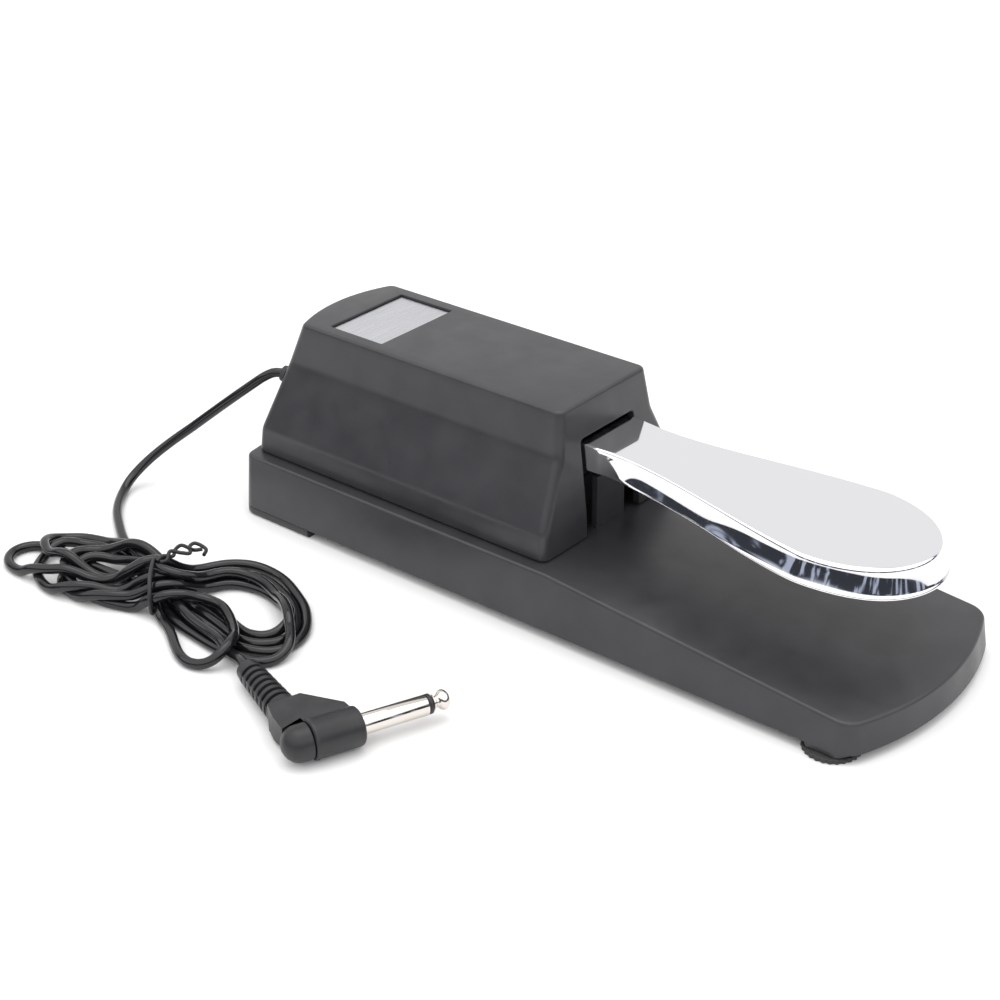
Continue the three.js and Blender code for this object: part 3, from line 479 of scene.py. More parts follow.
def box_mesh(x0, x1, y0, y1, z0, z1):
    """A box between two corners, in millimetres."""
    ring = [(x0, y0), (x1, y0), (x1, y1), (x0, y1)]
    return loft("box", [[(x, y, z) for x, y in ring] for z in (z0, z1)])


def soften(obj, width_mm, segments=3, angle=30.0):
    """Rounds the edges that are sharper than the angle."""
    modifier = obj.modifiers.new("edges", "BEVEL")
    modifier.width = width_mm * MM
    modifier.segments = segments
    modifier.limit_method = "ANGLE"
    modifier.angle_limit = math.radians(angle)
    modifier.harden_normals = True
    modifier.miter_outer = "MITER_ARC"


# ---------------------------------------------------------------- outlines shared by housing parts
def outline_end(half, apex, sagitta, corner, side, arc_steps, corner_steps):
    """One end of a plan outline: side 1 is the rear end, side -1 the front end."""
    flat = sagitta == 0
    radius = 0.0 if flat else (half**2 + sagitta**2) / (2 * sagitta)
    reach = 0.0 if flat else math.sqrt((radius - corner) ** 2 - (half - corner) ** 2)
    arc_y = apex - side * radius
    corner_y = apex - side * corner if flat else arc_y + side * reach
    lean = math.pi / 2 if flat else math.atan2(reach, half - corner)
    fillet = []
    for i in range(corner_steps + 1):
        a = lean * i / corner_steps
        fillet.append((half - corner + corner * math.cos(a), corner_y + side * corner * math.sin(a)))
    points = [(side * x, y) for x, y in fillet]
    if not flat:
        for i in range(1, arc_steps):
            a = lean + (math.pi - 2 * lean) * i / arc_steps
            points.append((side * radius * math.cos(a), arc_y + side * radius * math.sin(a)))
    points += [(-side * x, y) for x, y in reversed(fillet)]
    return points


BASE_HALF, BASE_FRONT, BASE_REAR = 41.3, -125.5, 125.5
FRONT_SAGITTA, FRONT_CORNER, REAR_SAGITTA, REAR_CORNER = 9.2, 8.2, 3.5, 5.0
BASE_BOTTOM, BASE_DRAFT, BASE_EDGE, BASE_WALL = 3.0, 1.1, 1.0, 2.5
DECK_TOP, DECK_NOSE, CREASE_Y = 22.2, 12.1, -8.0
# what stands on the deck, each as half width, front and rear y, and top z
POST_FOOT = 20.5
TONGUE = (7.2, -3.2, -1.2, 40.4)
STOP_POSTS = ((7, 9, 17, 33), (7, 76, 84, 40))
BOARD_POST = {"radius": 3, "x": 15, "y": 46, "top": 29.7}


def base_plan(inset):
    """The plan outline of the base, and the two flat faces that meet at the deck's crease."""
    half = BASE_HALF - inset
    corners = [max(corner - inset, 1.5) for corner in (REAR_CORNER, FRONT_CORNER)]
    rear = outline_end(half, BASE_REAR - inset, REAR_SAGITTA, corners[0], 1, 24, 12)
    front = outline_end(half, BASE_FRONT + inset, FRONT_SAGITTA, corners[1], -1, 24, 12)
    points = [(half, CREASE_Y), *rear, (-half, CREASE_Y), *front]
    left = len(rear) + 1
    order = list(range(len(points)))
    return points, [order[: left + 1], [*order[left:], 0]]


def deck_height(y):
    """Level under the hood, then falling to the front edge."""
    fall = (DECK_TOP - DECK_NOSE) / (CREASE_Y - BASE_FRONT)
    return DECK_TOP - fall * max(0.0, CREASE_Y - y)


def flat_ring(points, z):
    return [(x, y, z) for x, y in points]


def deck_ring(points, drop):
    return [(x, y, deck_height(y) - drop) for x, y in points]


FOOT = {"x": 34.8, "y": -107.8, "radius": 8.9, "boss": 8.0, "height": 1.5}


def disc_mesh(radius, z0, z1, centre=(0, 0), sides=64):
    mesh = turned("disc", [[0, z0], [radius, z0], [radius, z1], [0, z1]], sides)
    mesh.transform(Matrix.Translation((centre[0] * MM, centre[1] * MM, 0)))
    return mesh


def make_base():
    plans = []
    steps = 6
    for i in range(steps + 1):
        a = math.pi / 2 * i / steps
        plans.append((BASE_DRAFT + BASE_EDGE * (1 - math.cos(a)), BASE_EDGE * (1 - math.sin(a))))
    chamfer = 0.12
    rings = [
        flat_ring(base_plan(chamfer)[0], BASE_BOTTOM),
        flat_ring(base_plan(0.02)[0], BASE_BOTTOM + chamfer),
    ]
    rings += [deck_ring(base_plan(inset)[0], drop) for inset, drop in plans]
    caps = base_plan(0)[1]
    outer = loft("base_outer", rings, caps)
    hollow = loft(
        "base_hollow",
        [
            flat_ring(base_plan(BASE_WALL)[0], BASE_BOTTOM - 1),
            deck_ring(base_plan(BASE_WALL + BASE_DRAFT)[0], BASE_WALL),
        ],
        caps,
    )
    base = cut(outer, [hollow])
    # foot bosses flush with the wall, reaching a little below it
    column = loft(
        "column",
        [
            flat_ring(base_plan(0.05)[0], -1),
            flat_ring(base_plan(0.05)[0], BASE_BOTTOM + 0.2),
            deck_ring(base_plan(BASE_DRAFT + 0.1)[0], 1.0),
        ],
        caps,
    )
    bosses = []
    for side in (-1, 1):
        disc = disc_mesh(FOOT["boss"], FOOT["height"] + 0.25, 12.6, (side * FOOT["x"], FOOT["y"]))
        bosses.append(cut(disc, [column.copy()], "INTERSECT"))
    posts = []
    for half, front, rear, top in (TONGUE, *STOP_POSTS):
        posts.append(box_mesh(-half, half, front, rear, POST_FOOT, top))
    for side in (-1, 1):
        place = (side * BOARD_POST["x"], BOARD_POST["y"])
        posts.append(disc_mesh(BOARD_POST["radius"], POST_FOOT, BOARD_POST["top"], place, 24))
    base = cut(base, [*bosses, *posts], "UNION")
    obj = as_object("housing_base", base, "housing")
    soften(obj, 0.35, 2)
    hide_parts("base_shell")


HOOD_LEVELS = [
    # z, half width, front face y, rear apex y
    (22.6, 35.5, -4.6, 123.9),
    (31.0, 35.2, -4.2, 122.8),
    (53.0, 24.5, -1.6, 118.2),
    (67.2, 22.2, 0.0, 113.3),
]
HOOD_SAGITTA, HOOD_CORNER, HOOD_WALL, HOOD_EDGE = 5.0, 3.0, 2.5, 1.0
HOOD_FOOT, HOOD_TOP = HOOD_LEVELS[0][0], HOOD_LEVELS[-1][0]
CREASE_ROUNDING = 1.2
MOUTH = {"half": 13.7, "top": 55.5, "corner": 1.6}
RECESS = {"half": 17.5, "front": 77.1, "rear": 99.8, "depth": 1.9}


def hood_level(z):
    """The hood's level at z, straight between the rows above."""
    for low, high in zip(HOOD_LEVELS, HOOD_LEVELS[1:]):
        if z <= high[0]:
            share = (z - low[0]) / (high[0] - low[0])
            return tuple(a + share * (b - a) for a, b in zip(low, high))
    return HOOD_LEVELS[-1]


def rounded_level(z):
    """The hood's level at z, with the creases between its straight flanks rounded off."""
    reach = max(0.0, min(CREASE_ROUNDING, z - HOOD_FOOT, HOOD_TOP - z))
    near = [hood_level(z + reach * (k / 4 - 1)) for k in range(9)]
    return tuple(sum(values) / len(near) for values in zip(*near))


def hood_ring(z, inset=0.0, corner_steps=8):
    _, half, front, rear = rounded_level(z)
    corner = max(HOOD_CORNER - inset, 0.8)
    back = outline_end(half - inset, rear - inset, HOOD_SAGITTA, corner, 1, 24, corner_steps)
    face = outline_end(half - inset, front + inset, 0, corner, -1, 0, corner_steps)
    return [*back, *face]


def make_hood():
    # close slices round each crease, wide ones between
    heights = [HOOD_FOOT, 25, 28, 29.8, 30.4, 31, 31.6, 32.2, 36, 41, 46, 50]
    heights += [51.8, 52.4, 53, 53.6, 54.2, 57, 61, 64]
    rings = [flat_ring(hood_ring(z), z) for z in heights]
    steps = 5
    for i in range(steps + 1):
        a = math.pi / 2 * i / steps
        z = HOOD_TOP - HOOD_EDGE * (1 - math.sin(a))
        rings.append(flat_ring(hood_ring(z, HOOD_EDGE * (1 - math.cos(a))), z))
    outer = loft("hood_outer", rings)
    inner_levels = (HOOD_FOOT, HOOD_LEVELS[1][0], HOOD_LEVELS[2][0], HOOD_TOP - HOOD_WALL)
    inner = [flat_ring(hood_ring(z, HOOD_WALL), z) for z in inner_levels]
    inner[0] = flat_ring(hood_ring(HOOD_FOOT, HOOD_WALL), HOOD_FOOT - 1)
    hollow = loft("hood_hollow", inner)
    mouth = mouth_cutter(MOUTH["half"], MOUTH["top"], MOUTH["corner"])
    half, bottom = RECESS["half"], HOOD_TOP - RECESS["depth"]
    recess = box_mesh(-half, half, RECESS["front"], RECESS["rear"], bottom, HOOD_TOP + 5)
    shell = cut(outer, [hollow, mouth, recess])
    obj = as_object("hood_shell", shell, "housing")
    soften(obj, 0.3, 2)
    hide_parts("hood")


def mouth_cutter(half, top, corner):
    """The opening in the front face, with rounded upper corners, as a prism along Y."""
    points = [(-half, 20.0), (half, 20.0)]
    for side, start in ((1, 0.0), (-1, math.pi / 2)):
        for i in range(7):
            a = start + math.pi / 2 * i / 6
            x = side * (half - corner) + corner * math.cos(a)
            points.append((x, top - corner + corner * math.sin(a)))
    rings = [[(x, y, z) for x, z in points] for y in (8.0, -12.0)]
    return loft("mouth", rings)


# The pedal is lofted from its lip up: lip, wall, rounded edge, top. Its own z is 0 at the top face.
PEDAL_TOP, PEDAL_SLOPE = 54.0, 0.037
PEDAL_ROOT, PEDAL_WIDEST, PEDAL_TIP = 20.0, -87.0, -116.6
NECK_HALF, WAIST_HALF, SHOULDER_HALF, PADDLE_HALF = 12.95, 9.6, 21.4, 24.6
SKIN = 0.25  # how far the lofted body stays inside the plan


def smoothstep(low, high, value):
    t = min(max((value - low) / (high - low), 0.0), 1.0)
    return t * t * (3 - 2 * t)


def lip_flare(y):
    """How far the lip stands out past the wall."""
    return 0.12 * smoothstep(10, 34, -y) + 0.6 * smoothstep(46, 84, -y)


def lip_height(y):
    return 0.4 + 0.65 * smoothstep(44, 84, -y)


def skirt_depth(y):
    """The pedal's whole depth, greatest at the root and at the tip."""
    return 7.7 + 1.0 * (1 - smoothstep(1, 18, -y)) + 0.9 * smoothstep(92, 116, -y)


def wall_flare(y):
    """How far the curved wall has moved out where the lip begins; most at the shoulders."""
    shoulder = smoothstep(50, 68, -y) * (1 - smoothstep(78, 98, -y))
    return 1.85 * smoothstep(4, 24, -y) + 0.6 * shoulder


def wall_curve(y, share):
    """The wall starts upright below the rounded edge and leans out more and more on the neck."""
    return wall_flare(y) * share ** (1.5 - 0.35 * smoothstep(60, 98, -y))


def edge_size(y):
    """The rounding of the upper edge is tighter along the neck."""
    return 0.42 + 0.4 * smoothstep(45, 95, -y)


def bezier(corners, t):
    s = 1 - t
    shares = (s**3, 3 * s * s * t, 3 * s * t * t, t**3)
    return tuple(sum(share * value for share, value in zip(shares, values)) for values in zip(*corners))


def pedal_plan(offset):
    """Plan outline of the pedal, moved out from its upper wall by an amount that changes along y."""
    right = [(NECK_HALF + offset(PEDAL_ROOT), PEDAL_ROOT + offset(PEDAL_ROOT))]
    flank = ((NECK_HALF, -6), (WAIST_HALF, -29), (SHOULDER_HALF, -58), (PADDLE_HALF, PEDAL_WIDEST))
    for i in range(41):
        x, y = bezier(flank, i / 40)
        right.append((x + offset(y), y))
    out = offset(PEDAL_WIDEST)
    reach = PEDAL_WIDEST - PEDAL_TIP + out
    for i in range(1, 32):
        a = math.pi / 2 * i / 32
        right.append(((PADDLE_HALF + out) * math.cos(a), PEDAL_WIDEST - reach * math.sin(a)))
    left = [(-x, y) for x, y in reversed(right)]
    return [(0, PEDAL_WIDEST - reach), *reversed(right), *reversed(left)]


def wall_ring(share, inset=SKIN):
    """A ring of the wall: share 0 is just below the rounded edge and 1 just above the lip."""
    plan = pedal_plan(lambda y: wall_curve(y, share) - inset)
    rows = []
    for x, y in plan:
        top = 1.4 * edge_size(y)
        rows.append((x, y, -top - share * (skirt_depth(y) - top - 1.25 * lip_height(y))))
    return rows


def lip_ring(share, up, inset=SKIN):
    """A ring of the lip, by its shares of the lip's width and height."""
    plan = pedal_plan(lambda y: wall_flare(y) + share * lip_flare(y) - inset)
    return [(x, y, up * lip_height(y) - skirt_depth(y)) for x, y in plan]


def edge_ring(inset, depth):
    """A ring of the rounded upper edge, by its inset and depth for an edge of size 1."""
    plan = pedal_plan(lambda y: -SKIN - (inset - SKIN) * edge_size(y))
    return [(x, y, -depth * edge_size(y)) for x, y in plan]


def make_pedal():
    lip = [(0.8, 0.0), (0.95, 0.08), (1.0, 0.22), (0.97, 0.42), (0.8, 0.62), (0.5, 0.82), (0.2, 1.02)]
    wall = [1 - 0.08 * k for k in range(10)] + [0.18, 0.0]
    edge = [(0.34, 1.05), (0.52, 0.72), (0.78, 0.43), (1.1, 0.22), (1.5, 0.08), (2.0, 0.01), (2.6, 0.0)]
    rings = [lip_ring(*row) for row in lip]
    rings += [wall_ring(share) for share in wall]
    rings += [edge_ring(*row) for row in edge]
    skin = loft("pedal_skin", rings)
    hollow = loft(
        "pedal_hollow",
        [
            lip_ring(0.5, -1.0, 1.2),
            lip_ring(0.0, 1.3, 1.8),
            wall_ring(0.3, 2.2),
            flat_ring(pedal_plan(lambda y: -2.8), -2.2),
        ],
    )
    shell = cut(skin, [hollow])
    tilt = Matrix.Rotation(math.atan(PEDAL_SLOPE), 4, "X")
    shell.transform(Matrix.Translation((0, 0, PEDAL_TOP * MM)) @ tilt)
    # the lever arm comes in through a notch and is screwed to two bosses
    arm_top = 48.6
    notch = box_mesh(-9.6, 9.6, 15, 25, 40, arm_top)
    bosses = [disc_mesh(4, arm_top, 53.5, (0, y), 32) for y in (7.5, 16)]
    shell = cut(cut(shell, [notch]), bosses, "UNION")
    obj = as_object("pedal_lever", shell, "chrome", "pedal", 28)
    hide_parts("pedal")


# ---------------------------------------------------------------- feet, pad, badge
def make_feet():
    """Round feet with a toothed rim and a sunk screw hole."""
    teeth, steps, tooth, top = 26, 4, 0.25, FOOT["height"]
    angles = [2 * math.pi * i / (teeth * steps) for i in range(teeth * steps)]
    for side, word in ((-1, "left"), (1, "right")):
        rings = []
        for grow, z in ((-0.5, 0.0), (-0.1, 0.15), (0, 0.35), (0, 1.15), (-0.15, 1.35), (-0.5, top)):
            ring = []
            for a in angles:
                radius = FOOT["radius"] - 0.3 + tooth * math.cos(teeth * a) + grow
                ring.append((radius * math.cos(a), radius * math.sin(a), z))
            rings.append(ring)
        mesh = loft("foot", rings)
        mesh = cut(mesh, [disc_mesh(3.0, -1, 1.0), disc_mesh(1.7, 0, 3)])
        mesh.transform(Matrix.Translation((side * FOOT["x"] * MM, FOOT["y"] * MM, 0)))
        obj = as_object(f"rubber_foot_{word}", mesh, "rubber")
        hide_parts(f"front_foot_{word}")


def make_rear_pad():
    """The pad follows the base's outline; a prism cuts off all but its rear end."""
    rows = ((1.0, 0.0), (0.75, 0.1), (0.15, 0.7), (0.02, 0.95), (0.02, 2.9), (0.06, 2.96))
    pad = loft("pad", [flat_ring(base_plan(inset)[0], z) for inset, z in rows])
    pad = cut(pad, [box_mesh(-60, 60, 92, 140, -1, 4)], "INTERSECT")
    obj = as_object("rubber_rear_pad", pad, "pad")
    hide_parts("rear_pad")


def make_badge():
    low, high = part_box("badge_plate")
    mesh = box_mesh(*[c[k] / MM for k in range(3) for c in (low, high)])
    obj = as_object("badge", mesh, "badge")
    soften(obj, 0.25, 3)
    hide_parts("badge_plate")


# ---------------------------------------------------------------- cord
CORD = 3.3  # diameter, mm
GAP = 2.0  # distance between the points of the settling cord, mm
SOFT_BEND = 9.0  # bends tighter than this radius resist more while the cord settles, mm
TIGHTEST = 7.0  # and those still tighter than this one are smoothed afterwards, mm
LEAD = [
    (-22.0, 117.9, 46.5), (-22.7, 119.6, 46.6), (-23.9, 121.6, 46.3), (-25.7, 124.8, 44.4),
    (-27.4, 128.6, 41.2), (-30.6, 135.0, 35.6), (-33.5, 142.5, 29.0), (-37.0, 150.0, 22.2),
    (-41.5, 157.2, 15.6), (-46.6, 162.4, 9.8), (-52.6, 164.8, 5.0), (-59.0, 163.2, 2.4),
    (-65.8, 158.4, 1.7), (-71.5, 152.8, 1.7), (-76.8, 145.6, 1.7), (-82.5, 137.0, 1.7),
    (-87.0, 127.0, 1.7), (-91.0, 117.0, 1.7),
]
# The tied hank is a flat figure of eight. Each row is one run from the tie out round a lobe and
# back to it; front runs pass the tie low on the way out, and back runs pass it high.
FRONT_RUNS = [
    [(-100, 98, 1.7), (-104, 86, 1.7), (-106, 72, 1.7), (-105, 58.5, 1.7), (-100.5, 48.5, 1.9),
     (-92.5, 47, 2.5), (-84, 51, 3.4), (-76.5, 59.5, 4.4), (-70.2, 70.5, 5.5), (-67, 81.5, 6.5),
     (-69.5, 91.5, 7.5), (-78, 98.8, 8.4), (-89, 102.5, 9)],
    [(-97, 98, 1.7), (-98, 86, 1.7), (-100, 73, 1.7), (-102, 61, 2.4), (-98, 53, 3.4),
     (-91, 51.5, 4.2), (-83, 57, 5), (-76.5, 65.5, 6), (-73, 76, 7), (-74.5, 86.5, 8),
     (-82.5, 93.5, 9), (-93, 98, 9.4)],
    [(-103, 96, 2), (-107, 84, 2), (-109, 71, 2), (-110, 58, 2.4), (-107.5, 47, 3.6),
     (-101, 43.5, 4.6), (-93, 49, 5.6), (-83.5, 60.5, 6.6), (-77.4, 74.5, 7.6), (-77.2, 86, 8.6),
     (-84.5, 92, 9.4), (-97, 94.5, 9.6)],
    [(-94, 97, 2), (-93.4, 86, 2), (-95.4, 75, 2.2), (-97.8, 66, 2.8), (-98, 59, 3.6), (-94, 54, 4.4),
     (-87.4, 54, 5), (-82, 59, 5.6), (-79, 67, 6), (-77, 78, 7), (-80.5, 88, 8), (-89.5, 92, 8.4),
     (-101, 95, 7.6)],
    [(-106, 94, 2), (-111, 84, 1.8), (-117, 74.5, 1.8), (-120.6, 67, 1.8), (-120.6, 60.4, 2),
     (-116.4, 56.2, 3.4), (-110, 56.8, 5.4), (-101.6, 65, 8.2), (-95.6, 75.4, 9.8), (-95.5, 83.5, 9.8),
     (-101, 87.5, 9), (-107, 93.5, 6.4)],
]
BACK_RUNS = [
    [(-100, 107, 9.5), (-103.5, 113, 9.4), (-107, 119, 9), (-110.5, 127.5, 8.6), (-114, 134.5, 8),
     (-116.8, 142, 6), (-117.6, 148.6, 4), (-116.6, 154.6, 2.8), (-112.2, 159, 2), (-106.2, 159, 1.7),
     (-102, 154.6, 1.7), (-101, 148, 1.7), (-101.2, 139, 1.7), (-100.4, 128, 1.7), (-99, 115, 1.7),
     (-99, 106, 1.7)],
    [(-101, 105, 7.6), (-105, 109, 7.2), (-110, 114, 6), (-115, 120, 5.4), (-118.5, 127.5, 5),
     (-118, 136, 4.4), (-115, 142.5, 4), (-110, 147, 4.2), (-104.5, 149, 4.9), (-98, 148, 4.8),
     (-93, 144.5, 3.6), (-89.5, 138, 3.6), (-90.5, 125.5, 3.6), (-96, 113, 3.6)],
    [(-98, 108, 9), (-101, 114, 8.4), (-104, 122.5, 7.6), (-106.5, 130, 7), (-108, 137.5, 7),
     (-107.5, 145, 7), (-103.5, 151.5, 6.4), (-98, 154, 5.8), (-92.5, 152, 5.4), (-89, 145.5, 5.2),
     (-87, 136.5, 5.2), (-87.5, 125.5, 5.2), (-92, 113.5, 5)],
    [(-105, 100, 6), (-109.5, 104, 5.2), (-113.5, 110.5, 4), (-115.5, 118, 2.8), (-115.5, 126, 1.8),
     (-112.8, 132.6, 1.8), (-107.4, 135.6, 2.8), (-101.8, 134.6, 4.8), (-97.4, 130.4, 6.8),
     (-94.6, 124.6, 8.6), (-93.5, 117.5, 9.2), (-94.5, 109, 8.4)],
    [(-107.5, 98, 4), (-109.5, 101, 3.2), (-111.5, 106.5, 2.4), (-114, 113.5, 1.8), (-114, 121, 1.8),
     (-112.6, 129.5, 2), (-108.6, 136, 3), (-102.8, 138.6, 5), (-96.8, 136.8, 7.4), (-92.4, 131.6, 9.6),
     (-89.8, 126, 10.6), (-88.6, 119, 10.8), (-89, 111.5, 10), (-92, 104.5, 8)],
]
TAIL = [
    (-97, 99, 5), (-102, 90, 4.4), (-106, 79, 3.8), (-108.2, 68, 3.6), (-109.8, 60, 4),
    (-111.4, 54.2, 4.6), (-113.3, 49.6, 5), (-114.4, 46.8, 5.2), (-115.7, 43.5, 5.3),
]


def resample(points, step):
    """Evenly spaced points on a smooth curve through the given ones."""
    points = np.asarray(points, float)
    padded = np.vstack([2 * points[0] - points[1], points, 2 * points[-1] - points[-2]])
    dense = []
    for a, b, c, d in zip(padded, padded[1:], padded[2:], padded[3:]):
        for t in np.linspace(0, 1, 24, endpoint=False):
            square, cube = 2 * a - 5 * b + 4 * c - d, 3 * b - a - 3 * c + d
            dense.append(0.5 * (2 * b + (c - a) * t + square * t**2 + cube * t**3))
    dense.append(points[-1])
    dense = np.array(dense)
    along = np.r_[0, np.cumsum(np.linalg.norm(np.diff(dense, axis=0), axis=1))]
    wanted = np.linspace(0, along[-1], max(2, round(along[-1] / step) + 1))
    return np.stack([np.interp(wanted, along, dense[:, k]) for k in range(3)], 1)


def settle(path, held_start, held_end, rounds):
    """Pushes strands that touch apart, keeps bends smooth and lets the cord rest on the floor.

    The first and last points are held. The others are drawn weakly back to the route they began on.
    """
    guide = path.copy()
    count = len(path)
    free = np.zeros((count, 1))
    free[held_start : count - held_end] = 1
    i, j = np.triu_indices(count, 7)  # nearer neighbours on the same strand are left alone
    clear = CORD * 1.03
    rest_height, weight = CORD / 2 + 0.02, (0, 0, 0.012)
    for _ in range(rounds):
        gap = path[i] - path[j]
        near = np.abs(gap).max(1) < clear
        a, b, gap = i[near], j[near], gap[near]
        size = np.linalg.norm(gap, axis=1)
        close = size < clear
        a, b, gap, size = a[close], b[close], gap[close], size[close]
        gap[:, 2] += np.where(gap[:, 2] >= 0, 0.05, -0.05)  # level strands part upwards and downwards
        push = gap / np.maximum(size, 0.2)[:, None] * (clear - size)[:, None] * (0.12, 0.12, 0.3)
        move = np.zeros_like(path)
        np.add.at(move, a, push)
        np.add.at(move, b, -push)
        size = np.linalg.norm(move, axis=1)
        move *= (np.minimum(size, 0.4) / np.maximum(size, 1e-9))[:, None]
        bend = np.zeros_like(path)
        second = path[:-2] - 2 * path[1:-1] + path[2:]
        sharp = np.linalg.norm(second, axis=1, keepdims=True) * SOFT_BEND / GAP**2 - 1
        second = second * (1 + 1.2 * np.clip(sharp, 0, 1))
        bend[1:-1] += 2 * second
        bend[:-2] -= second
        bend[2:] -= second
        pull = (guide - path) * (0.01, 0.01, 0.0)
        path = path + free * (move + 0.05 * bend + pull - weight)
        path[:, 2] = np.maximum(path[:, 2], rest_height)
    return path


def open_bends(path, held_start, held_end, radius, rounds):
    """Smooths the stretches that still bend more tightly than the radius."""
    for _ in range(rounds):
        second = path[:-2] - 2 * path[1:-1] + path[2:]
        step = np.linalg.norm(path[1:-1] - path[:-2], axis=1)
        sharp = np.linalg.norm(second, axis=1) * radius > step**2
        near = np.convolve(sharp, np.ones(7), "same") > 0
        near[:held_start] = near[-held_end:] = False
        path[1:-1] += 0.25 * second * near[:, None]
    return path


def make_cord():
    """The whole cord as one tube; returns it with its centre line in metres."""
    points = list(LEAD)
    for front, back in zip(FRONT_RUNS, BACK_RUNS):
        points += front + back
    points += TAIL
    path = resample(points, GAP)
    rounds = 400
    path = settle(path, 40, 4, rounds)
    path = open_bends(resample(path[::2], 1.5), 26, 6, TIGHTEST, 12)
    mesh = tube_mesh("cord", path * MM, CORD / 2 * MM, 20)
    obj = as_object("cord", mesh, "cord")
    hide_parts("cord_lead", "cord_hank", "cord_tail")
    return obj, path * MM


def make_tie():
    """A thin wire round the waist of the hank, its two ends twisted together and curled."""
    centre, turn = (-101.5, 100.8, 6.4), math.radians(42)
    half_width, half_height, wire = 10.6, 6.0, 0.7
    ring = []
    for k in range(64):
        a = 2 * math.pi * k / 64
        c, s = math.cos(a), math.sin(a)
        across = half_width * math.copysign(abs(c) ** 0.75, c)
        up = half_height * math.copysign(abs(s) ** 0.75, s)
        slant = 0.32 * up
        ring.append((
            centre[0] + across * math.cos(turn) + slant * math.sin(turn),
            centre[1] + across * math.sin(turn) + slant * math.cos(turn),
            max(centre[2] + up, wire + 0.05),
        ))
    mesh = tube_mesh("tie", np.array(ring) * MM, wire * MM, 10, closed=True)
    obj = as_object("wire_tie_ring", mesh, "plug")
    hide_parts("wire_tie")
    made = [obj]
    ends = (
        [(-97.5, 103, 12.6), (-94.8, 103, 13.2), (-92, 101.5, 12.4), (-90, 102.4, 13.6),
         (-88, 101.6, 14.6), (-86.6, 99.2, 13.6), (-85, 99, 12.4), (-83.2, 97.2, 12.6)],
        [(-97.2, 101.8, 12.4), (-94.8, 101.2, 12.4), (-92, 102.6, 13.8), (-89.6, 100.4, 13),
         (-87.4, 98.4, 12.6), (-86, 100, 13.8), (-83.8, 99.6, 14.2), (-82.6, 96.2, 12.8),
         (-85, 94.6, 12.2)],
    )
    for k, points in enumerate(ends):
        wire = tube_mesh(f"tie_end_{k}", resample(points, 0.5) * MM, 0.62 * MM, 10)
        made.append(as_object(f"wire_tie_end_{k + 1}", wire, "plug"))
        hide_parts("wire_tie")
    return made


# ---------------------------------------------------------------- plug
# The plug is made with its jack along +X (u) and its boot along +Y (v), and then put in place.
PLUG_PLACE = Matrix.Translation((-132 * MM, 3.2 * MM, 0)) @ Matrix.Rotation(math.radians(-22), 4, "Z")
AXIS_Z, FACE_U = 6.3, 15.8  # height of the jack's axis, and where its sleeve comes out of the body
BOOT = {"start": 17.0, "end": 45.0, "end_z": 4.6, "ribs": 7}
JACK_PARTS = {"sleeve": FACE_U + 0.3, "band": FACE_U + 21.2, "tip": FACE_U + 22.6}


def along_u(mesh, start=0.0):
    """Lays a body made about +Z along the jack's axis."""
    mesh.transform(Matrix.Translation((start * MM, 0, AXIS_Z * MM)) @ Matrix.Rotation(math.pi / 2, 4, "Y"))
    mesh.transform(PLUG_PLACE)
    return mesh


def make_boot():
    """The ribbed strain relief, with a blind hole that the cord goes into."""
    length, ribs = BOOT["end"] - BOOT["start"], BOOT["ribs"]
    pitch = (length - 5.4) / ribs
    profile = [[0, 2], [1.75, 2], [1.75, 0.2], [2, 0], [4.3, 0], [4.8, 0.5], [4.9, 2.2]]
    for i in range(ribs):
        z, outer = 2.2 + i * pitch, 4.8 - 0.13 * i
        profile += [[outer - 1.1, z + 0.1], [outer - 1.1, z + 0.46 * pitch], [outer - 0.1, z + 0.52 * pitch]]
        profile += [[outer, z + 0.7 * pitch], [outer - 0.05, z + 0.98 * pitch]]
    profile += [[3.75, length - 3], [3.6, length - 0.6], [2.9, length], [0, length]]
    boot = turned("boot", profile, 48)
    # smooth ridges bridge the slots on both sides
    ridges, taper = [], 0.84
    for side in (-1, 1):
        ring = [(side * 2.9, -1.6), (side * 4.4, -1.6), (side * 4.4, 1.6), (side * 2.9, 1.6)]
        narrow = [(taper * x, taper * y) for x, y in ring]
        ridges.append(loft("ridge", [flat_ring(ring, 1.0), flat_ring(narrow, length - 3.2)]))
    boot = cut(boot, ridges, "UNION")
    boot.transform(Matrix.Rotation(-math.pi / 2, 4, "X"))
    droop = math.atan((AXIS_Z - BOOT["end_z"]) / BOOT["end"])
    boot.transform(
        PLUG_PLACE
        @ Matrix.Translation((0, 0, AXIS_Z * MM))
        @ Matrix.Rotation(-droop, 4, "X")
        @ Matrix.Translation((0, BOOT["start"] * MM, 0))
    )
    return boot


def make_elbow():
    """A barrel round the jack's axis joined to a flat wedge that runs to the boot."""
    profile = [[0, 0.3], [5.6, 0.3], [6.0, 0.6], [6.1, 1.0], [6.1, 1.6], [5.95, 2.2]]
    profile += [[6.0, FACE_U - 1.4], [5.8, FACE_U - 0.6], [5.2, FACE_U - 0.1], [4.6, FACE_U], [0, FACE_U]]
    barrel = along_u(turned("barrel", profile))
    # u, v and the height of the top above the axis, which slopes down beside the end cap
    wedge = [
        (5, 16.7, 4.6), (FACE_U - 1.5, 6.5, 4.6), (FACE_U - 0.8, 2, 4.4), (0.3, 2, 4.6),
        (0.3, 5.9, 4.0), (-5.4, 5.9, 2.2), (-5.9, 11, 3.2), (-5.2, 16.7, 4.1),
    ]
    low = [(u, v, AXIS_Z - 4.8) for u, v, _ in wedge]
    slab = loft("slab", [low, [(u, v, AXIS_Z + up) for u, v, up in wedge]])
    slab.transform(PLUG_PLACE)
    return cut(barrel, [slab], "UNION")


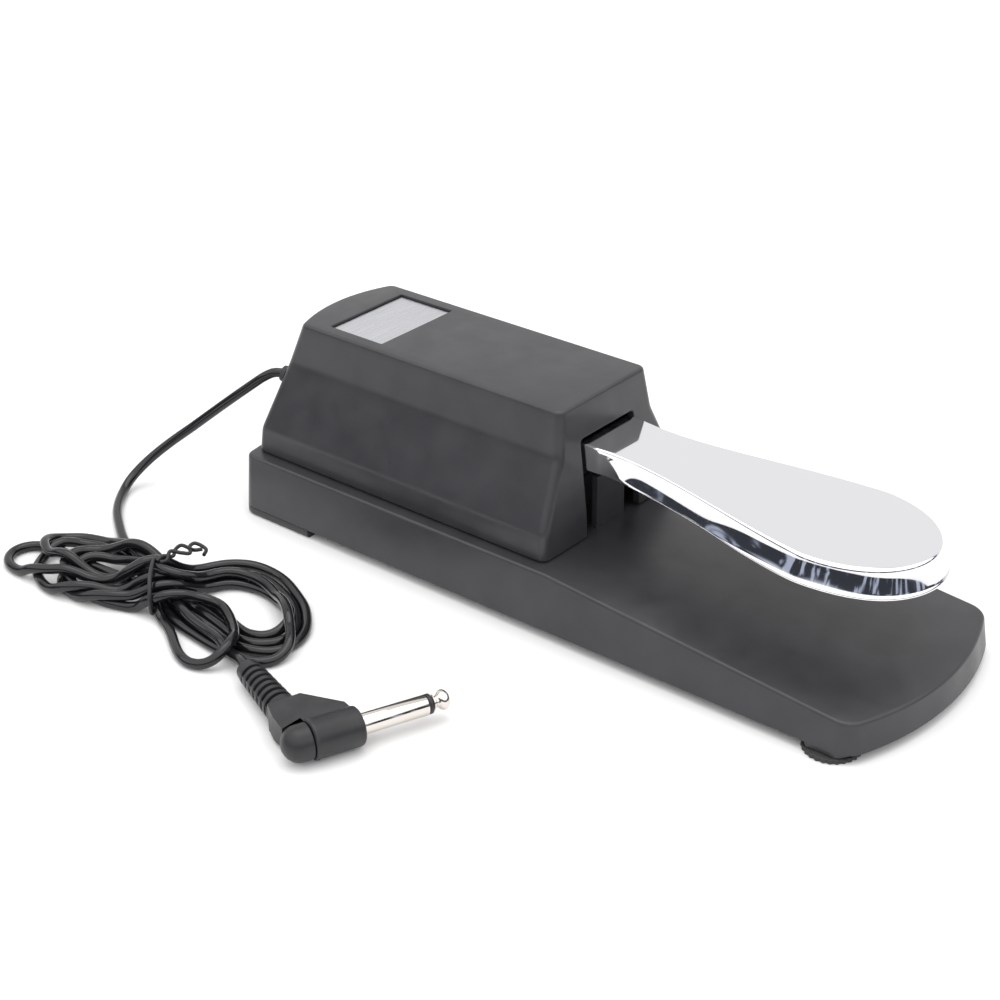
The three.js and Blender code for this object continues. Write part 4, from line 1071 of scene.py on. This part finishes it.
def make_plug():
    made = [as_object("plug_strain_relief", make_boot(), "plug")]
    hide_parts("plug_boot")
    made.append(as_object("plug_elbow", make_elbow(), "plug", smooth_angle=30))
    soften(made[-1], 0.8, 4)
    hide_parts("plug_body")

    radius, depth = 5.4, 5.2
    dome = [[0, -3 - depth]]
    for i in range(1, 13):
        a = math.pi / 2 * i / 12
        dome.append([radius * math.sin(a), -3 - depth * math.cos(a)])
    dome += [[radius, -0.2], [radius - 0.2, 0], [0, 0]]
    made.append(as_object("plug_dome", along_u(turned("dome", dome)), "plug"))
    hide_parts("plug_end_cap")

    sleeve = [[0, 0], [3.1, 0], [3.175, 0.1], [3.175, 20.4], [3.05, 20.6], [0, 20.6]]
    made.append(as_object("jack_barrel", along_u(turned("sleeve", sleeve), JACK_PARTS["sleeve"]), "nickel"))
    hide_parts("jack_sleeve")
    band = [[0, 0], [3.0, 0], [3.05, 0.1], [3.05, 1.0], [3.0, 1.1], [0, 1.1]]
    made.append(as_object("jack_band", along_u(turned("band", band), JACK_PARTS["band"]), "plug"))
    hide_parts("jack_insulator")
    tip = [[0, 0], [2.3, 0], [2.5, 0.25], [2.45, 0.6], [2.0, 1.0], [1.75, 1.4], [1.8, 1.8], [2.2, 2.2]]
    tip += [[2.7, 2.6], [3.0, 3.1], [3.1, 3.6], [3.05, 4.1], [2.8, 4.6], [2.35, 5.1], [1.7, 5.55]]
    tip += [[0.9, 5.85], [0, 5.95]]
    made.append(as_object("jack_ball", along_u(turned("tip", tip), JACK_PARTS["tip"]), "nickel"))
    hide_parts("jack_tip")
    return made


# ---------------------------------------------------------------- return spring
SPRING_SEAT = (0.0, 30.0, 25.6)


def make_spring():
    """An open coil with closed, ground-flat end turns."""
    wire, radius, turns, steps = 1.5, 6.4, 6.0, 240
    low, high = SPRING_SEAT[2], 45.5
    path = []
    for k in range(steps + 1):
        share = k / steps
        rise = smoothstep(0.1, 0.9, share) * 0.35 + 0.65 * min(max((share - 0.12) / 0.76, 0), 1)
        a = 2 * math.pi * turns * share
        z = low + wire / 2 + 0.02 + (high - low - wire - 0.04) * rise
        path.append((SPRING_SEAT[0] + radius * math.cos(a), SPRING_SEAT[1] + radius * math.sin(a), z))
    path = np.array(path)
    # the end turns lie on themselves, one wire apart
    end = 29
    path[:end, 2] += np.linspace(0, wire * 1.02, end)
    path[-end:, 2] -= np.linspace(wire * 1.02, 0, end)
    path[end:-end, 2] = np.clip(path[end:-end, 2], path[end - 1, 2], path[-end, 2])
    coil = tube_mesh("coil", path * MM, wire / 2 * MM, 12)
    obj = as_object("coil_spring", coil, "steel", smooth_angle=50)
    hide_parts("return_spring")
    return obj


# ---------------------------------------------------------------- carried-over CAD nodes
def finish_cad_nodes():
    """Materials and small edge rounding for the CAD nodes that are still seen."""
    slots = {row["node"]: row["material_slot"] for row in frame["record"]["subparts"]}
    for name, obj in frame["nodes"].items():
        if obj.hide_render:
            continue
        obj.data.materials.clear()
        obj.data.materials.append(LOOKS[slots[name]])
        modifier = obj.modifiers.new("edges", "BEVEL")
        modifier.width = 0.15 * MM
        modifier.segments = 2
        modifier.limit_method = "ANGLE"
        modifier.angle_limit = math.radians(40)


make_camera()
make_studio()
spring = make_spring()
cord_obj, cord_path = make_cord()
tie_pieces = make_tie()
plug_pieces = make_plug()
make_base()
make_hood()
make_pedal()
make_feet()
make_rear_pad()
make_badge()
finish_cad_nodes()
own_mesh(spring)
